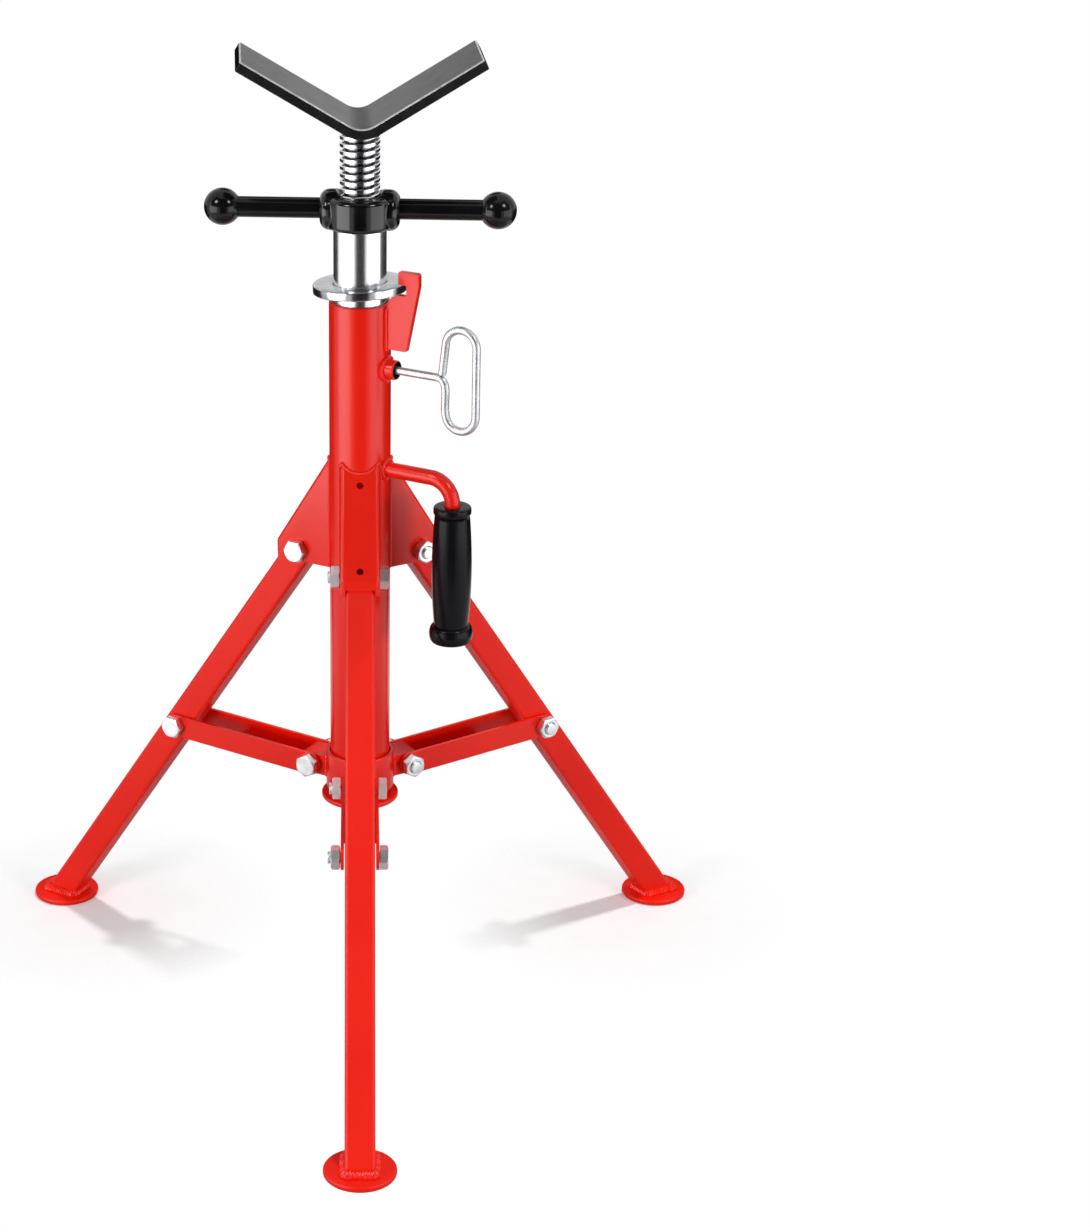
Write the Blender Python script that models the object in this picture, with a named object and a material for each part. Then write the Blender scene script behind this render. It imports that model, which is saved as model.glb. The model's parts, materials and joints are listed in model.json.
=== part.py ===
"""Folding tripod pipe stand: a V head on a jack screw, carried by a sliding mast.

Metres, +Z up. The origin is on the floor, under the middle of the stand.
A sector frame has X pointing out from the mast, Y counter-clockwise and Z up.
"""
from math import atan2, ceil, cos, hypot, pi, radians, sin, sqrt, tan

import bmesh
import bpy
from mathutils import Matrix, Vector
from mathutils.geometry import interpolate_bezier

# Fits
GAP = 0.0003
THREAD_FIT = 0.0004
TUBE_FIT = 0.0008
COLLAR_FIT = 0.0005
SIDE_FIT = 0.0008
HOLE_FIT = 0.0003
STOP_FIT = 0.0005
RING_FIT = 0.0006
NOTCH_FIT = 0.0007

# Jack screw and the nut that lifts it
SCREW_OD = 0.032
SCREW_PITCH = 0.006
THREAD_DEPTH = 0.0035
THREAD_LAND = 0.0032
THREAD_FLANK = radians(15)
SCREW_BELOW_NUT = 0.080
SCREW_SHOWN = 0.0493
SPIGOT_WALL = 0.0015
SPIGOT_DEPTH = 0.010
NUT_HEIGHT = 0.026
NUT_WALL = 0.0106
NUT_EDGE = 0.003
BOSS_D = 0.025
BOSS_STEP = 0.0048
BAR_D = 0.0165
BAR_SEAT = 0.009
BAR_REACH = 0.109
BALL_D = 0.0295
BALL_NECK = 0.001
BALL_FLAT_R = 0.0009
NUT_YAW = radians(-3.6)

# V head
V_WIDTH = 0.0805
V_THICKNESS = 0.0084
V_ARM = 0.1084
V_SLOPE = radians(31)
V_BEND = 0.0115
V_YAW = radians(2.5)

# Tubes
MAST_WALL = 0.003
MAST_SHOWN = 0.062
TUBE_WALL = 0.003
TUBE_LENGTH = 0.432
TUBE_ABOVE_PIVOT = 0.2174
STOP_FLANGE = 0.0075
STOP_THICKNESS = 0.004
DRAIN_D = 0.020

# Legs and feet
LEG_SIZE = 0.024
LEG_WALL = 0.002
LEG_CORNER = 0.003
LEG_LENGTH = 0.470
LEG_ANGLE = radians(34)
LEG_TAIL = 0.011
PIVOT_STANDOFF = 0.026
FOOT_D = 0.058
FOOT_THICKNESS = 0.005
FOOT_EDGE = 0.001

# Leg brackets, heights counted from the leg pivot
BRACKET_WALL = 0.0032
WEB_TOP = 0.0794
WEB_CORNER = 0.0054
LIP_DROP = 0.0036
FLANGE_DROP = 0.0096
WEB_HOLE_D = 0.0055
WEB_HOLE_LOW = 0.007
WEB_HOLE_PITCH = 0.071

# Bolts
BOLT_D = 0.010
HEX_FLATS = 0.017
HEAD_HEIGHT = 0.0068
NUT_THICKNESS = 0.0075
BOLT_TIP = 0.0025
HEX_CHAMFER = 0.0012

# Sliding collar and braces
COLLAR_WALL = 0.003
COLLAR_HEIGHT = 0.033
COLLAR_RISE = 0.006
COLLAR_BOLT_RISE = 0.0146
LUG_STANDOFF = 0.0129
LUG_NOSE = 0.009
LUG_HEIGHT = 0.019
LUG_EDGE = 0.003
BRACE_ON_LEG = 0.228
BRACE_WALL = 0.0026
BRACE_HEIGHT = 0.020
BRACE_CUT_COLLAR = 0.016
BRACE_CUT_LEG = 0.048

# Safety ring and its keeper plate
RING_WIDTH = 0.016
RING_THICKNESS = 0.007
RING_TILT = radians(3.5)
RING_RISE = 0.012
RING_EDGE = 0.0008
KEEPER_PLATE = 0.005
KEEPER_DROP = 0.036
KEEPER_FOOT = 0.0187
KEEPER_BACK = 0.0115
KEEPER_ROOT = 0.0055
KEEPER_HOOK = 0.0018
KEEPER_BITE = 0.006
KEEPER_CREST = 0.011

# Clamping screws with a looped handle
CLAMP_ROD = 0.0065
CLAMP_BOSS_D = 0.016
CLAMP_BOSS_LENGTH = 0.009
CLAMP_DROP = 0.053
CLAMP_REACH = 0.067
CLAMP_LOOP_HEIGHT = 0.090
CLAMP_LOOP_WIDTH = 0.034
COLLAR_CLAMP_REACH = 0.036
COLLAR_LOOP_HEIGHT = 0.046
COLLAR_LOOP_WIDTH = 0.026
LOOP_ENTRY = radians(22)
LOOP_NECK = 0.0085
LOOP_LEAN = 0.003
LOOP_PULL = 0.42

# Carry handle
HANDLE_ROD = 0.0125
HANDLE_RISE = 0.0794
HANDLE_REACH = 0.061
HANDLE_BEND = 0.020
GRIP_DROP = 0.0210
GRIP_LENGTH = 0.119
GRIP_TOP_D = 0.0268
GRIP_BOTTOM_D = 0.0292
GRIP_FLANGE_D = 0.0312
GRIP_FLANGE = 0.007
GRIP_TAPER = 0.0025
GRIP_FILLET = 0.0014
GRIP_BULB_D = 0.0352
GRIP_BULB = 0.016
GRIP_BASE_D = 0.0164
GRIP_FLOOR = 0.006

# Directions, and how finely round shapes are divided
LEG_SIDES = {"front": radians(-90), "right": radians(30), "left": radians(150)}
HANDLE_SIDE = radians(-30)
COLLAR_CLAMP_SIDE = radians(90)
TUBE_SEGMENTS = 36
DISC_SEGMENTS = 30
KNOB_SEGMENTS = 24
BOLT_SEGMENTS = 12
HOLE_SEGMENTS = 12
SCREW_SEGMENTS = 14
ROUND_STEPS = 8
CORNER_STEPS = 3
BALL_RINGS = 8
CLAMP_ROD_STEPS = 2
HANDLE_ROD_STEPS = 3
ARC_STEP = 0.006
RUN_STEP = 0.018
SMOOTH_ANGLE = radians(35)

# Sizes that follow from the fits
SCREW_R = SCREW_OD / 2
NUT_BORE = SCREW_R + THREAD_FIT
SPIGOT_R = NUT_BORE + SPIGOT_WALL
NUT_R = NUT_BORE + NUT_WALL
MAST_R = SPIGOT_R + GAP + MAST_WALL
TUBE_R = MAST_R + TUBE_FIT + TUBE_WALL
PIVOT_R = TUBE_R + PIVOT_STANDOFF
FOOT_R = PIVOT_R + LEG_LENGTH * sin(LEG_ANGLE)
PIVOT_Z = FOOT_THICKNESS + LEG_LENGTH * cos(LEG_ANGLE)
MAST_Y = FOOT_R / 4
TUBE_TOP = PIVOT_Z + TUBE_ABOVE_PIVOT
TUBE_BOTTOM = TUBE_TOP - TUBE_LENGTH
MAST_TOP = TUBE_TOP + MAST_SHOWN
NUT_BOTTOM = MAST_TOP + GAP
SCREW_TOP = NUT_BOTTOM + NUT_HEIGHT + SCREW_SHOWN
BRACKET_INSIDE = LEG_SIZE + 2 * SIDE_FIT
BRACKET_OUTSIDE = BRACKET_INSIDE + 2 * BRACKET_WALL
BRACKET_R = (PIVOT_R + LIP_DROP * tan(LEG_ANGLE) + LEG_SIZE / 2 / cos(LEG_ANGLE)
             + STOP_FIT + BRACKET_WALL)
COLLAR_R = TUBE_R + COLLAR_FIT + COLLAR_WALL
COLLAR_Z = TUBE_BOTTOM + COLLAR_RISE
LUG_R = COLLAR_R + LUG_STANDOFF
LUG_Z = COLLAR_Z + COLLAR_BOLT_RISE
BRACE_INSIDE = LEG_SIZE + 2 * SIDE_FIT
BRACE_OUTSIDE = BRACE_INSIDE + 2 * BRACE_WALL
BRACE_END_R = PIVOT_R + BRACE_ON_LEG * sin(LEG_ANGLE)
BRACE_END_Z = PIVOT_Z - BRACE_ON_LEG * cos(LEG_ANGLE)
BRACE_LENGTH = hypot(BRACE_END_R - LUG_R, BRACE_END_Z - LUG_Z)
BRACE_PITCH = atan2(BRACE_END_Z - LUG_Z, BRACE_END_R - LUG_R)
BOLT_HOLE_R = BOLT_D / 2 + HOLE_FIT
RING_BORE = MAST_R + RING_FIT
RING_R = RING_BORE + RING_WIDTH
RING_PIVOT_Z = TUBE_TOP + RING_RISE + RING_R * sin(RING_TILT)
CLAMP_Z = TUBE_TOP - CLAMP_DROP
CLAMP_HOLE_R = CLAMP_ROD / 2 + HOLE_FIT
HANDLE_Z = PIVOT_Z + HANDLE_RISE
GRIP_BORE = HANDLE_ROD / 2 + GAP
SLACK = 0.01

# Colour, roughness and metallic value of each finish
RED_PAINT = ((0.80, 0.022, 0.008), 0.32, 0.0)
ZINC = ((0.72, 0.73, 0.75), 0.25, 1.0)
BLACK_OXIDE = ((0.060, 0.060, 0.062), 0.45, 0.3)
BLACK_GLOSS = ((0.010, 0.010, 0.011), 0.22, 0.0)
RUBBER = ((0.012, 0.012, 0.013), 0.6, 0.0)


def clear_scene():
    for item in list(bpy.data.objects):
        bpy.data.objects.remove(item)


def finish_material(name, finish):
    colour, roughness, metallic = finish
    material = bpy.data.materials.new(name)
    material.use_nodes = True
    shader = material.node_tree.nodes["Principled BSDF"]
    shader.inputs["Base Color"].default_value = (*colour, 1)
    shader.inputs["Roughness"].default_value = roughness
    shader.inputs["Metallic"].default_value = metallic
    material.diffuse_color = (*colour, 1)
    return material


def place(name, data, finish, parent, location=(0, 0, 0), rotation=(0, 0, 0)):
    """One named sub-part, with a finish of its own."""
    data.name = name
    data.materials.append(finish_material(name, finish))
    part = bpy.data.objects.new(name, data)
    bpy.context.collection.objects.link(part)
    part.parent = parent
    part.location = location
    part.rotation_euler = rotation
    return part


def frame(name, parent, location=(0, 0, 0), rotation=(0, 0, 0)):
    """An empty that carries a group of sub-parts on its own axis."""
    carrier = bpy.data.objects.new(name, None)
    bpy.context.collection.objects.link(carrier)
    carrier.parent = parent
    carrier.location = location
    carrier.rotation_euler = rotation
    return carrier


def to_mesh(bm):
    bmesh.ops.recalc_face_normals(bm, faces=bm.faces)
    mesh = bpy.data.meshes.new("shape")
    bm.to_mesh(mesh)
    bm.free()
    shade(mesh)
    return mesh


def shade(mesh):
    mesh.shade_smooth()
    mesh.set_sharp_from_angle(angle=SMOOTH_ANGLE)


def lathe(rings, segments, closed=False):
    """Turned shape about Z from (radius, height) rings; a closed one is a tube or ring."""
    bm = bmesh.new()
    loops = []
    for radius, height in rings:
        loop = []
        for step in range(segments):
            angle = 2 * pi * step / segments
            reach = radius(angle) if callable(radius) else radius
            loop.append(bm.verts.new((reach * cos(angle), reach * sin(angle), height)))
        loops.append(loop)
    pairs = list(zip(loops, loops[1:]))
    if closed:
        pairs.append((loops[-1], loops[0]))
    else:
        bm.faces.new(loops[0])
        bm.faces.new(loops[-1])
    for lower, upper in pairs:
        for step in range(segments):
            after = (step + 1) % segments
            bm.faces.new((lower[step], lower[after], upper[after], upper[step]))
    return to_mesh(bm)


def tube(inner, outer, bottom, top, segments):
    return lathe([(inner, bottom), (outer, bottom), (outer, top), (inner, top)], segments, True)


def prism(outline, width):
    """Plate or block: an (x, z) outline with its thickness along Y, centred."""
    bm = bmesh.new()
    sides = []
    for y in (-width / 2, width / 2):
        loop = [bm.verts.new((x, y, z)) for x, z in outline]
        bm.faces.new(loop)
        sides.append(loop)
    for step in range(len(outline)):
        after = (step + 1) % len(outline)
        bm.faces.new((sides[0][step], sides[0][after], sides[1][after], sides[1][step]))
    return to_mesh(bm)


def moved(mesh, matrix):
    mesh.transform(matrix)
    return mesh


def pin(radius, length, segments, along, centre=(0, 0, 0)):
    """Solid cylinder along a direction, centred on a point."""
    mesh = lathe([(radius, -length / 2), (radius, length / 2)], segments)
    turn = Vector((0, 0, 1)).rotation_difference(Vector(along)).to_matrix().to_4x4()
    return moved(mesh, Matrix.Translation(centre) @ turn)


def combine(mesh, tools, operation):
    """Cut tools out of a mesh, or join them to it, and give the result as one mesh."""
    body = bpy.data.objects.new("body", mesh)
    bpy.context.collection.objects.link(body)
    helpers = []
    for tool in tools:
        helper = bpy.data.objects.new("tool", tool)
        bpy.context.collection.objects.link(helper)
        modifier = body.modifiers.new("boolean", "BOOLEAN")
        modifier.operation = operation
        modifier.solver = "EXACT"
        modifier.object = helper
        helpers.append(helper)
    evaluated = body.evaluated_get(bpy.context.evaluated_depsgraph_get())
    result = bpy.data.meshes.new_from_object(evaluated)
    for spare in [body, *helpers]:
        bpy.data.objects.remove(spare)
    shade(result)
    return result


def cut(mesh, *tools):
    return combine(mesh, tools, "DIFFERENCE")


def join(mesh, *tools):
    return combine(mesh, tools, "UNION")


def arc(centre, radius, start, end, steps):
    points = []
    for step in range(steps + 1):
        angle = start + (end - start) * step / steps
        points.append((centre[0] + radius * cos(angle), centre[1] + radius * sin(angle)))
    return points


def line(start, end):
    """Points along a straight run, without the last one."""
    steps = max(1, ceil(hypot(end[0] - start[0], end[1] - start[1]) / RUN_STEP))
    points = []
    for step in range(steps):
        share = step / steps
        points.append((start[0] + (end[0] - start[0]) * share, start[1] + (end[1] - start[1]) * share))
    return points


def arc_steps(radius, sweep):
    return max(CORNER_STEPS, ceil(radius * sweep / ARC_STEP))


def bent_rod(points, diameter, resolution):
    """Round rod along (x, z) points, as a curve with filled ends."""
    curve = bpy.data.curves.new("rod", "CURVE")
    curve.dimensions = "3D"
    curve.bevel_depth = diameter / 2
    curve.bevel_resolution = resolution
    curve.use_fill_caps = True
    spline = curve.splines.new("POLY")
    spline.points.add(len(points) - 1)
    for point, (x, z) in zip(spline.points, points):
        point.co = (x, 0, z, 1)
    return curve


def hexagon(flats):
    """Radius of a hexagon, by angle, from its width across flats."""
    return lambda angle: flats / 2 / cos((angle + pi / 6) % (pi / 3) - pi / 6)


def rounded_square(size, corner):
    """Outline of a square tube in its own (across, outward) plane."""
    points = []
    reach = size / 2 - corner
    for quarter in range(4):
        start = quarter * pi / 2
        middle = start + pi / 4
        centre = (reach * sqrt(2) * cos(middle), reach * sqrt(2) * sin(middle))
        points.extend(arc(centre, corner, start, start + pi / 2, CORNER_STEPS))
    return points


def leg_shape():
    """Square tube from the pivot down to its foot, cut level at the foot. Origin at the pivot."""
    down = Vector((sin(LEG_ANGLE), 0, -cos(LEG_ANGLE)))
    outward = Vector((cos(LEG_ANGLE), 0, sin(LEG_ANGLE)))
    across = Vector((0, 1, 0))
    sole = FOOT_THICKNESS + GAP - PIVOT_Z
    bm = bmesh.new()
    ends = []
    for size, corner in ((LEG_SIZE, LEG_CORNER), (LEG_SIZE - 2 * LEG_WALL, LEG_CORNER - LEG_WALL)):
        upper = []
        lower = []
        for u, v in rounded_square(size, corner):
            side = across * u + outward * v
            upper.append(bm.verts.new(side - down * LEG_TAIL))
            run = (sole - side.z) / down.z
            lower.append(bm.verts.new(side + down * run))
        ends.append((upper, lower))
    (outer_top, outer_foot), (inner_top, inner_foot) = ends
    count = len(outer_top)
    for first, second in ((outer_top, outer_foot), (inner_top, inner_foot),
                          (outer_top, inner_top), (outer_foot, inner_foot)):
        for step in range(count):
            after = (step + 1) % count
            bm.faces.new((first[step], first[after], second[after], second[step]))
    width = LEG_SIZE + SLACK
    holes = [pin(BOLT_HOLE_R, width, HOLE_SEGMENTS, across, down * along) for along in (0, BRACE_ON_LEG)]
    return cut(to_mesh(bm), *holes)


def foot_shape():
    radius = FOOT_D / 2
    rings = [(radius - FOOT_EDGE, 0), (radius, FOOT_EDGE),
             (radius, FOOT_THICKNESS - FOOT_EDGE), (radius - FOOT_EDGE, FOOT_THICKNESS)]
    return lathe(rings, DISC_SEGMENTS)


def bracket_shape():
    """Folded channel welded to the tube: two side plates and a sloping web with a lip."""
    corner_z = PIVOT_Z + WEB_CORNER
    web_z = PIVOT_Z + WEB_TOP
    floor_z = PIVOT_Z - FLANGE_DROP
    lip_z = PIVOT_Z - LIP_DROP
    lean = (BRACKET_R - TUBE_R) / (web_z - corner_z)
    slant = sqrt(1 + lean * lean)
    inset = BRACKET_WALL * slant
    root = TUBE_R / 2  # inside the tube, so that the tube's round cut makes the joint
    outline = [(root, floor_z), (BRACKET_R, floor_z), (BRACKET_R, corner_z),
               (root, web_z + (TUBE_R - root) / lean)]
    inside_r = BRACKET_R - BRACKET_WALL
    inside_z = corner_z - (inset - BRACKET_WALL) / lean
    hollow = [(0, floor_z - SLACK), (BRACKET_R + SLACK, floor_z - SLACK),
              (BRACKET_R + SLACK, lip_z), (inside_r, lip_z), (inside_r, inside_z),
              (0, web_z + (TUBE_R - inset) / lean)]
    tools = [prism(hollow, BRACKET_INSIDE),
             lathe([(TUBE_R + GAP, 0), (TUBE_R + GAP, 2 * web_z)], TUBE_SEGMENTS),
             pin(BOLT_HOLE_R, BRACKET_OUTSIDE + SLACK, HOLE_SEGMENTS, (0, 1, 0), (PIVOT_R, 0, PIVOT_Z))]
    for along in (WEB_HOLE_LOW, WEB_HOLE_LOW + WEB_HOLE_PITCH):
        spot = (BRACKET_R - along * lean / slant, 0, corner_z + along / slant)
        tools.append(pin(WEB_HOLE_D / 2, 4 * BRACKET_WALL, HOLE_SEGMENTS, (1, 0, lean), spot))
    return cut(prism(outline, BRACKET_OUTSIDE), *tools)


def bolt_shape(grip):
    """Hex bolt along Z; its head rests on z = 0 and its shank runs down."""
    flats = hexagon(HEX_FLATS)
    shank = BOLT_D / 2
    rings = [(HEX_FLATS / 2 - HEX_CHAMFER / 2, HEAD_HEIGHT), (flats, HEAD_HEIGHT - HEX_CHAMFER),
             (flats, 0), (shank, 0), (shank, HEX_CHAMFER - grip), (shank - HEX_CHAMFER, -grip)]
    return lathe(rings, BOLT_SEGMENTS)


def nut_shape():
    """Hex nut along Z, resting on z = 0, around a bolt's shank."""
    flats = hexagon(HEX_FLATS)
    top = HEX_FLATS / 2 - HEX_CHAMFER / 2
    rings = [(BOLT_HOLE_R, 0), (flats, 0), (flats, NUT_THICKNESS - HEX_CHAMFER),
             (top, NUT_THICKNESS), (BOLT_HOLE_R, NUT_THICKNESS)]
    return lathe(rings, BOLT_SEGMENTS, True)


def capped_nut_shape(grip):
    """Hex nut with the bolt's end standing out of it, and a short shank below it."""
    flats = hexagon(HEX_FLATS)
    shank = BOLT_D / 2
    rings = [(shank - HEX_CHAMFER, NUT_THICKNESS + BOLT_TIP),
             (shank, NUT_THICKNESS + BOLT_TIP - HEX_CHAMFER), (shank, NUT_THICKNESS),
             (HEX_FLATS / 2 - HEX_CHAMFER / 2, NUT_THICKNESS), (flats, NUT_THICKNESS - HEX_CHAMFER),
             (flats, 0), (shank, 0), (shank, -grip)]
    return lathe(rings, BOLT_SEGMENTS)


def through_bolt(label, side, outside, parent):
    """Bolt head on the counter-clockwise side, nut and bolt end on the other."""
    face = outside / 2 + GAP
    grip = 2 * face + NUT_THICKNESS + BOLT_TIP
    place(f"{label}_bolt_{side}", bolt_shape(grip), ZINC, parent, (0, face, 0), (-pi / 2, 0, 0))
    place(f"{label}_nut_{side}", nut_shape(), ZINC, parent, (0, -face, 0), (pi / 2, 0, 0))


def build_leg(side, sector):
    pivot = frame(f"leg_pivot_{side}", sector, (PIVOT_R, 0, PIVOT_Z))
    place(f"leg_{side}", leg_shape(), RED_PAINT, pivot)
    place(f"foot_{side}", foot_shape(), RED_PAINT, pivot, (FOOT_R - PIVOT_R, 0, -PIVOT_Z))
    through_bolt("leg", side, BRACKET_OUTSIDE, pivot)


def brace_shape():
    """Channel open at the top, from the collar bolt at the origin to the leg bolt along X."""
    half = BRACE_HEIGHT / 2
    outline = (arc((BRACE_LENGTH, 0), half, -pi / 2, pi / 2, ROUND_STEPS)
               + arc((0, 0), half, pi / 2, 3 * pi / 2, ROUND_STEPS))
    floor_z = BRACE_WALL - half
    start = BRACE_CUT_COLLAR
    end = BRACE_LENGTH - BRACE_CUT_LEG
    low = -half - SLACK
    left = -half - SLACK
    right = BRACE_LENGTH + half + SLACK
    hollow = [(left, low), (start, low), (start, floor_z), (end, floor_z), (end, low),
              (right, low), (right, half + SLACK), (left, half + SLACK)]
    width = BRACE_OUTSIDE + SLACK
    holes = [pin(BOLT_HOLE_R, width, HOLE_SEGMENTS, (0, 1, 0), (x, 0, 0)) for x in (0, BRACE_LENGTH)]
    return cut(prism(outline, BRACE_OUTSIDE), prism(hollow, BRACE_INSIDE), *holes)


def lug_shape():
    """Block on the collar that a brace straddles. Origin on the mast, at the bolt's height."""
    nose = LUG_R + LUG_NOSE
    half = LUG_HEIGHT / 2
    corner = nose - LUG_EDGE
    outline = ([(TUBE_R, -half)]
               + arc((corner, LUG_EDGE - half), LUG_EDGE, -pi / 2, 0, CORNER_STEPS)
               + arc((corner, half - LUG_EDGE), LUG_EDGE, 0, pi / 2, CORNER_STEPS)
               + [(TUBE_R, half)])
    width = BRACE_INSIDE - 2 * SIDE_FIT
    tools = [lathe([(COLLAR_R + GAP, -LUG_HEIGHT), (COLLAR_R + GAP, LUG_HEIGHT)], TUBE_SEGMENTS),
             pin(BOLT_HOLE_R, width + SLACK, HOLE_SEGMENTS, (0, 1, 0), (LUG_R, 0, 0))]
    return cut(prism(outline, width), *tools)


def build_brace(side, collar_sector):
    """Lug, brace and bolts of one side; the bolt at the leg stops inside the brace's walls."""
    rise = (0, 0, COLLAR_BOLT_RISE)
    place(f"collar_lug_{side}", lug_shape(), RED_PAINT, collar_sector, rise)
    pivot = frame(f"brace_pivot_{side}", collar_sector, (LUG_R, 0, COLLAR_BOLT_RISE), (0, -BRACE_PITCH, 0))
    through_bolt("collar", side, BRACE_OUTSIDE, pivot)
    place(f"brace_{side}", brace_shape(), RED_PAINT, pivot)
    face = BRACE_OUTSIDE / 2 + GAP
    grip = BRACE_WALL
    place(f"brace_bolt_{side}", bolt_shape(grip), ZINC, pivot, (BRACE_LENGTH, face, 0), (-pi / 2, 0, 0))
    place(f"brace_nut_{side}", capped_nut_shape(grip), ZINC, pivot,
          (BRACE_LENGTH, -face, 0), (pi / 2, 0, 0))


def crossing(points, x):
    """Height and slope of a run of (x, z) points where it passes x."""
    for (x0, z0), (x1, z1) in zip(points, points[1:]):
        if x0 <= x <= x1:
            break
    slope = (z1 - z0) / (x1 - x0)
    return z0 + slope * (x - x0), slope


def looped_screw(tip, centre, height, width):
    """Clamping screw bent from rod: a shank along X, then an upright loop back onto the shank."""
    radius = (width - CLAMP_ROD) / 2
    lift = (height - CLAMP_ROD) / 2 - radius
    neck = centre - radius - LOOP_NECK
    entry = pi + LOOP_ENTRY
    landing = Vector((centre + radius * cos(entry), 0, -lift + radius * sin(entry)))
    heading = Vector((-sin(entry), 0, cos(entry)))
    start = Vector((neck, 0, 0))
    pull = (landing - start).length * LOOP_PULL
    leave = start + Vector((pull, 0, 0))
    bend = interpolate_bezier(start, leave, landing - heading * pull, landing, ROUND_STEPS)
    sweep = [(point.x, point.z) for point in bend]
    end_x = centre - radius - LOOP_LEAN
    shank_z, slope = crossing(sweep, end_x)
    tilt = abs(slope) + LOOP_LEAN / (lift - shank_z)
    end_z = shank_z + CLAMP_ROD / 2 * (hypot(1, slope) + tilt) + GAP
    points = line((tip, 0), (neck, 0)) + sweep[:-1]
    points += arc((centre, -lift), radius, entry, 2 * pi, arc_steps(radius, pi))
    points += line((centre + radius, -lift), (centre + radius, lift))[1:]
    points += arc((centre, lift), radius, 0, pi, arc_steps(radius, pi))
    points.append((end_x, end_z))
    return bent_rod(points, CLAMP_ROD, CLAMP_ROD_STEPS)


def clamp_boss_shape(surface):
    """Round boss along X, coped to the tube or collar that it is welded to."""
    inner = surface - CLAMP_BOSS_D / 2
    outer = surface + GAP + CLAMP_BOSS_LENGTH
    mesh = tube(CLAMP_HOLE_R, CLAMP_BOSS_D / 2, inner, outer, HOLE_SEGMENTS)
    moved(mesh, Matrix.Rotation(pi / 2, 4, "Y"))
    half = CLAMP_BOSS_D
    return cut(mesh, lathe([(surface + GAP, -half), (surface + GAP, half)], TUBE_SEGMENTS))


def screw_hole(inner, surface, side, height):
    """Cutter for a screw's hole through one wall of a tube."""
    radius = CLAMP_HOLE_R
    middle = (inner + surface) / 2
    way = Vector((cos(side), sin(side), 0))
    return pin(radius, 2 * (surface - inner), HOLE_SEGMENTS, way, way * middle + Vector((0, 0, height)))


def build_collar(mast):
    collar = frame("collar_slide", mast, (0, 0, COLLAR_Z))
    bore = TUBE_R + COLLAR_FIT
    clamp_z = COLLAR_HEIGHT / 2
    sleeve = cut(tube(bore, COLLAR_R, 0, COLLAR_HEIGHT, TUBE_SEGMENTS),
                 screw_hole(bore, COLLAR_R, COLLAR_CLAMP_SIDE, clamp_z))
    place("collar", sleeve, RED_PAINT, collar)
    for side, azimuth in LEG_SIDES.items():
        build_brace(side, frame(f"collar_sector_{side}", collar, (0, 0, 0), (0, 0, azimuth)))
    back = frame("collar_clamp_axis", collar, (0, 0, clamp_z), (0, 0, COLLAR_CLAMP_SIDE))
    place("collar_boss", clamp_boss_shape(COLLAR_R), RED_PAINT, back)
    centre = COLLAR_R + COLLAR_CLAMP_REACH
    screw = looped_screw(TUBE_R + GAP, centre, COLLAR_LOOP_HEIGHT, COLLAR_LOOP_WIDTH)
    place("collar_screw", screw, ZINC, back)


def keeper_shape():
    """Hooked plate that holds the edge of the safety ring, in the sector's upright plane."""
    root = TUBE_R + GAP
    back = RING_R + KEEPER_ROOT + KEEPER_BACK
    bottom = TUBE_TOP - KEEPER_DROP
    floor_z = RING_PIVOT_Z - RING_THICKNESS / 2 - NOTCH_FIT
    roof_z = RING_PIVOT_Z + RING_THICKNESS / 2 + NOTCH_FIT
    top = roof_z + KEEPER_CREST
    notch = RING_R + KEEPER_ROOT
    hook = RING_R - KEEPER_HOOK
    outline = [(root, bottom), (root + KEEPER_FOOT, bottom), (back, roof_z), (back, top), (hook, top),
               (hook, roof_z), (notch, roof_z), (notch, floor_z), (RING_R - KEEPER_BITE, floor_z),
               (root, TUBE_TOP)]
    return prism(outline, KEEPER_PLATE)


def ring_shape():
    half = RING_THICKNESS / 2
    edge = RING_EDGE
    rings = [(RING_BORE, -half), (RING_R - edge, -half), (RING_R, edge - half), (RING_R, half - edge),
             (RING_R - edge, half), (RING_BORE, half)]
    return lathe(rings, TUBE_SEGMENTS, True)


def grip_shape():
    """Moulded sleeve with a flange, a swelling body and a bulb; its bore is open at the top."""
    top = -GRIP_DROP
    bottom = top - GRIP_LENGTH
    flange = GRIP_FLANGE_D / 2
    bulb = GRIP_BULB_D / 2
    neck = GRIP_TOP_D / 2
    waist = GRIP_BOTTOM_D / 2
    bulb_top = bottom + GRIP_BULB
    rings = [(GRIP_BORE, bottom + GRIP_FLOOR), (GRIP_BORE, top), (neck, top),
             (flange, top - GRIP_TAPER), (flange, top - GRIP_FLANGE + GRIP_TAPER),
             (neck, top - GRIP_FLANGE - GRIP_FILLET), (waist, (top + bottom) / 2),
             (waist, bulb_top + GRIP_FILLET)]
    for out, up in arc((0, 0), 1, pi / 3, -pi / 3, ROUND_STEPS):
        rings.append((waist + (bulb - waist) * out, bulb_top - GRIP_BULB / 2 * (1 - up)))
    rings.append((GRIP_BASE_D / 2, bottom))
    return lathe(rings, KNOB_SEGMENTS)


def build_handle(sector):
    reach = TUBE_R + HANDLE_REACH
    start = TUBE_R + GAP
    centre = (reach - HANDLE_BEND, -HANDLE_BEND)
    end = -GRIP_DROP - GRIP_LENGTH + GRIP_FLOOR + GAP
    points = line((start, 0), (centre[0], 0))
    points += arc(centre, HANDLE_BEND, pi / 2, 0, ROUND_STEPS)
    points += line((reach, -HANDLE_BEND), (reach, end))[1:] + [(reach, end)]
    level = frame("handle_level", sector, (0, 0, HANDLE_Z))
    place("carry_handle", bent_rod(points, HANDLE_ROD, HANDLE_ROD_STEPS), RED_PAINT, level)
    place("handle_grip", grip_shape(), RUBBER, level, (reach, 0, 0))


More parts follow.
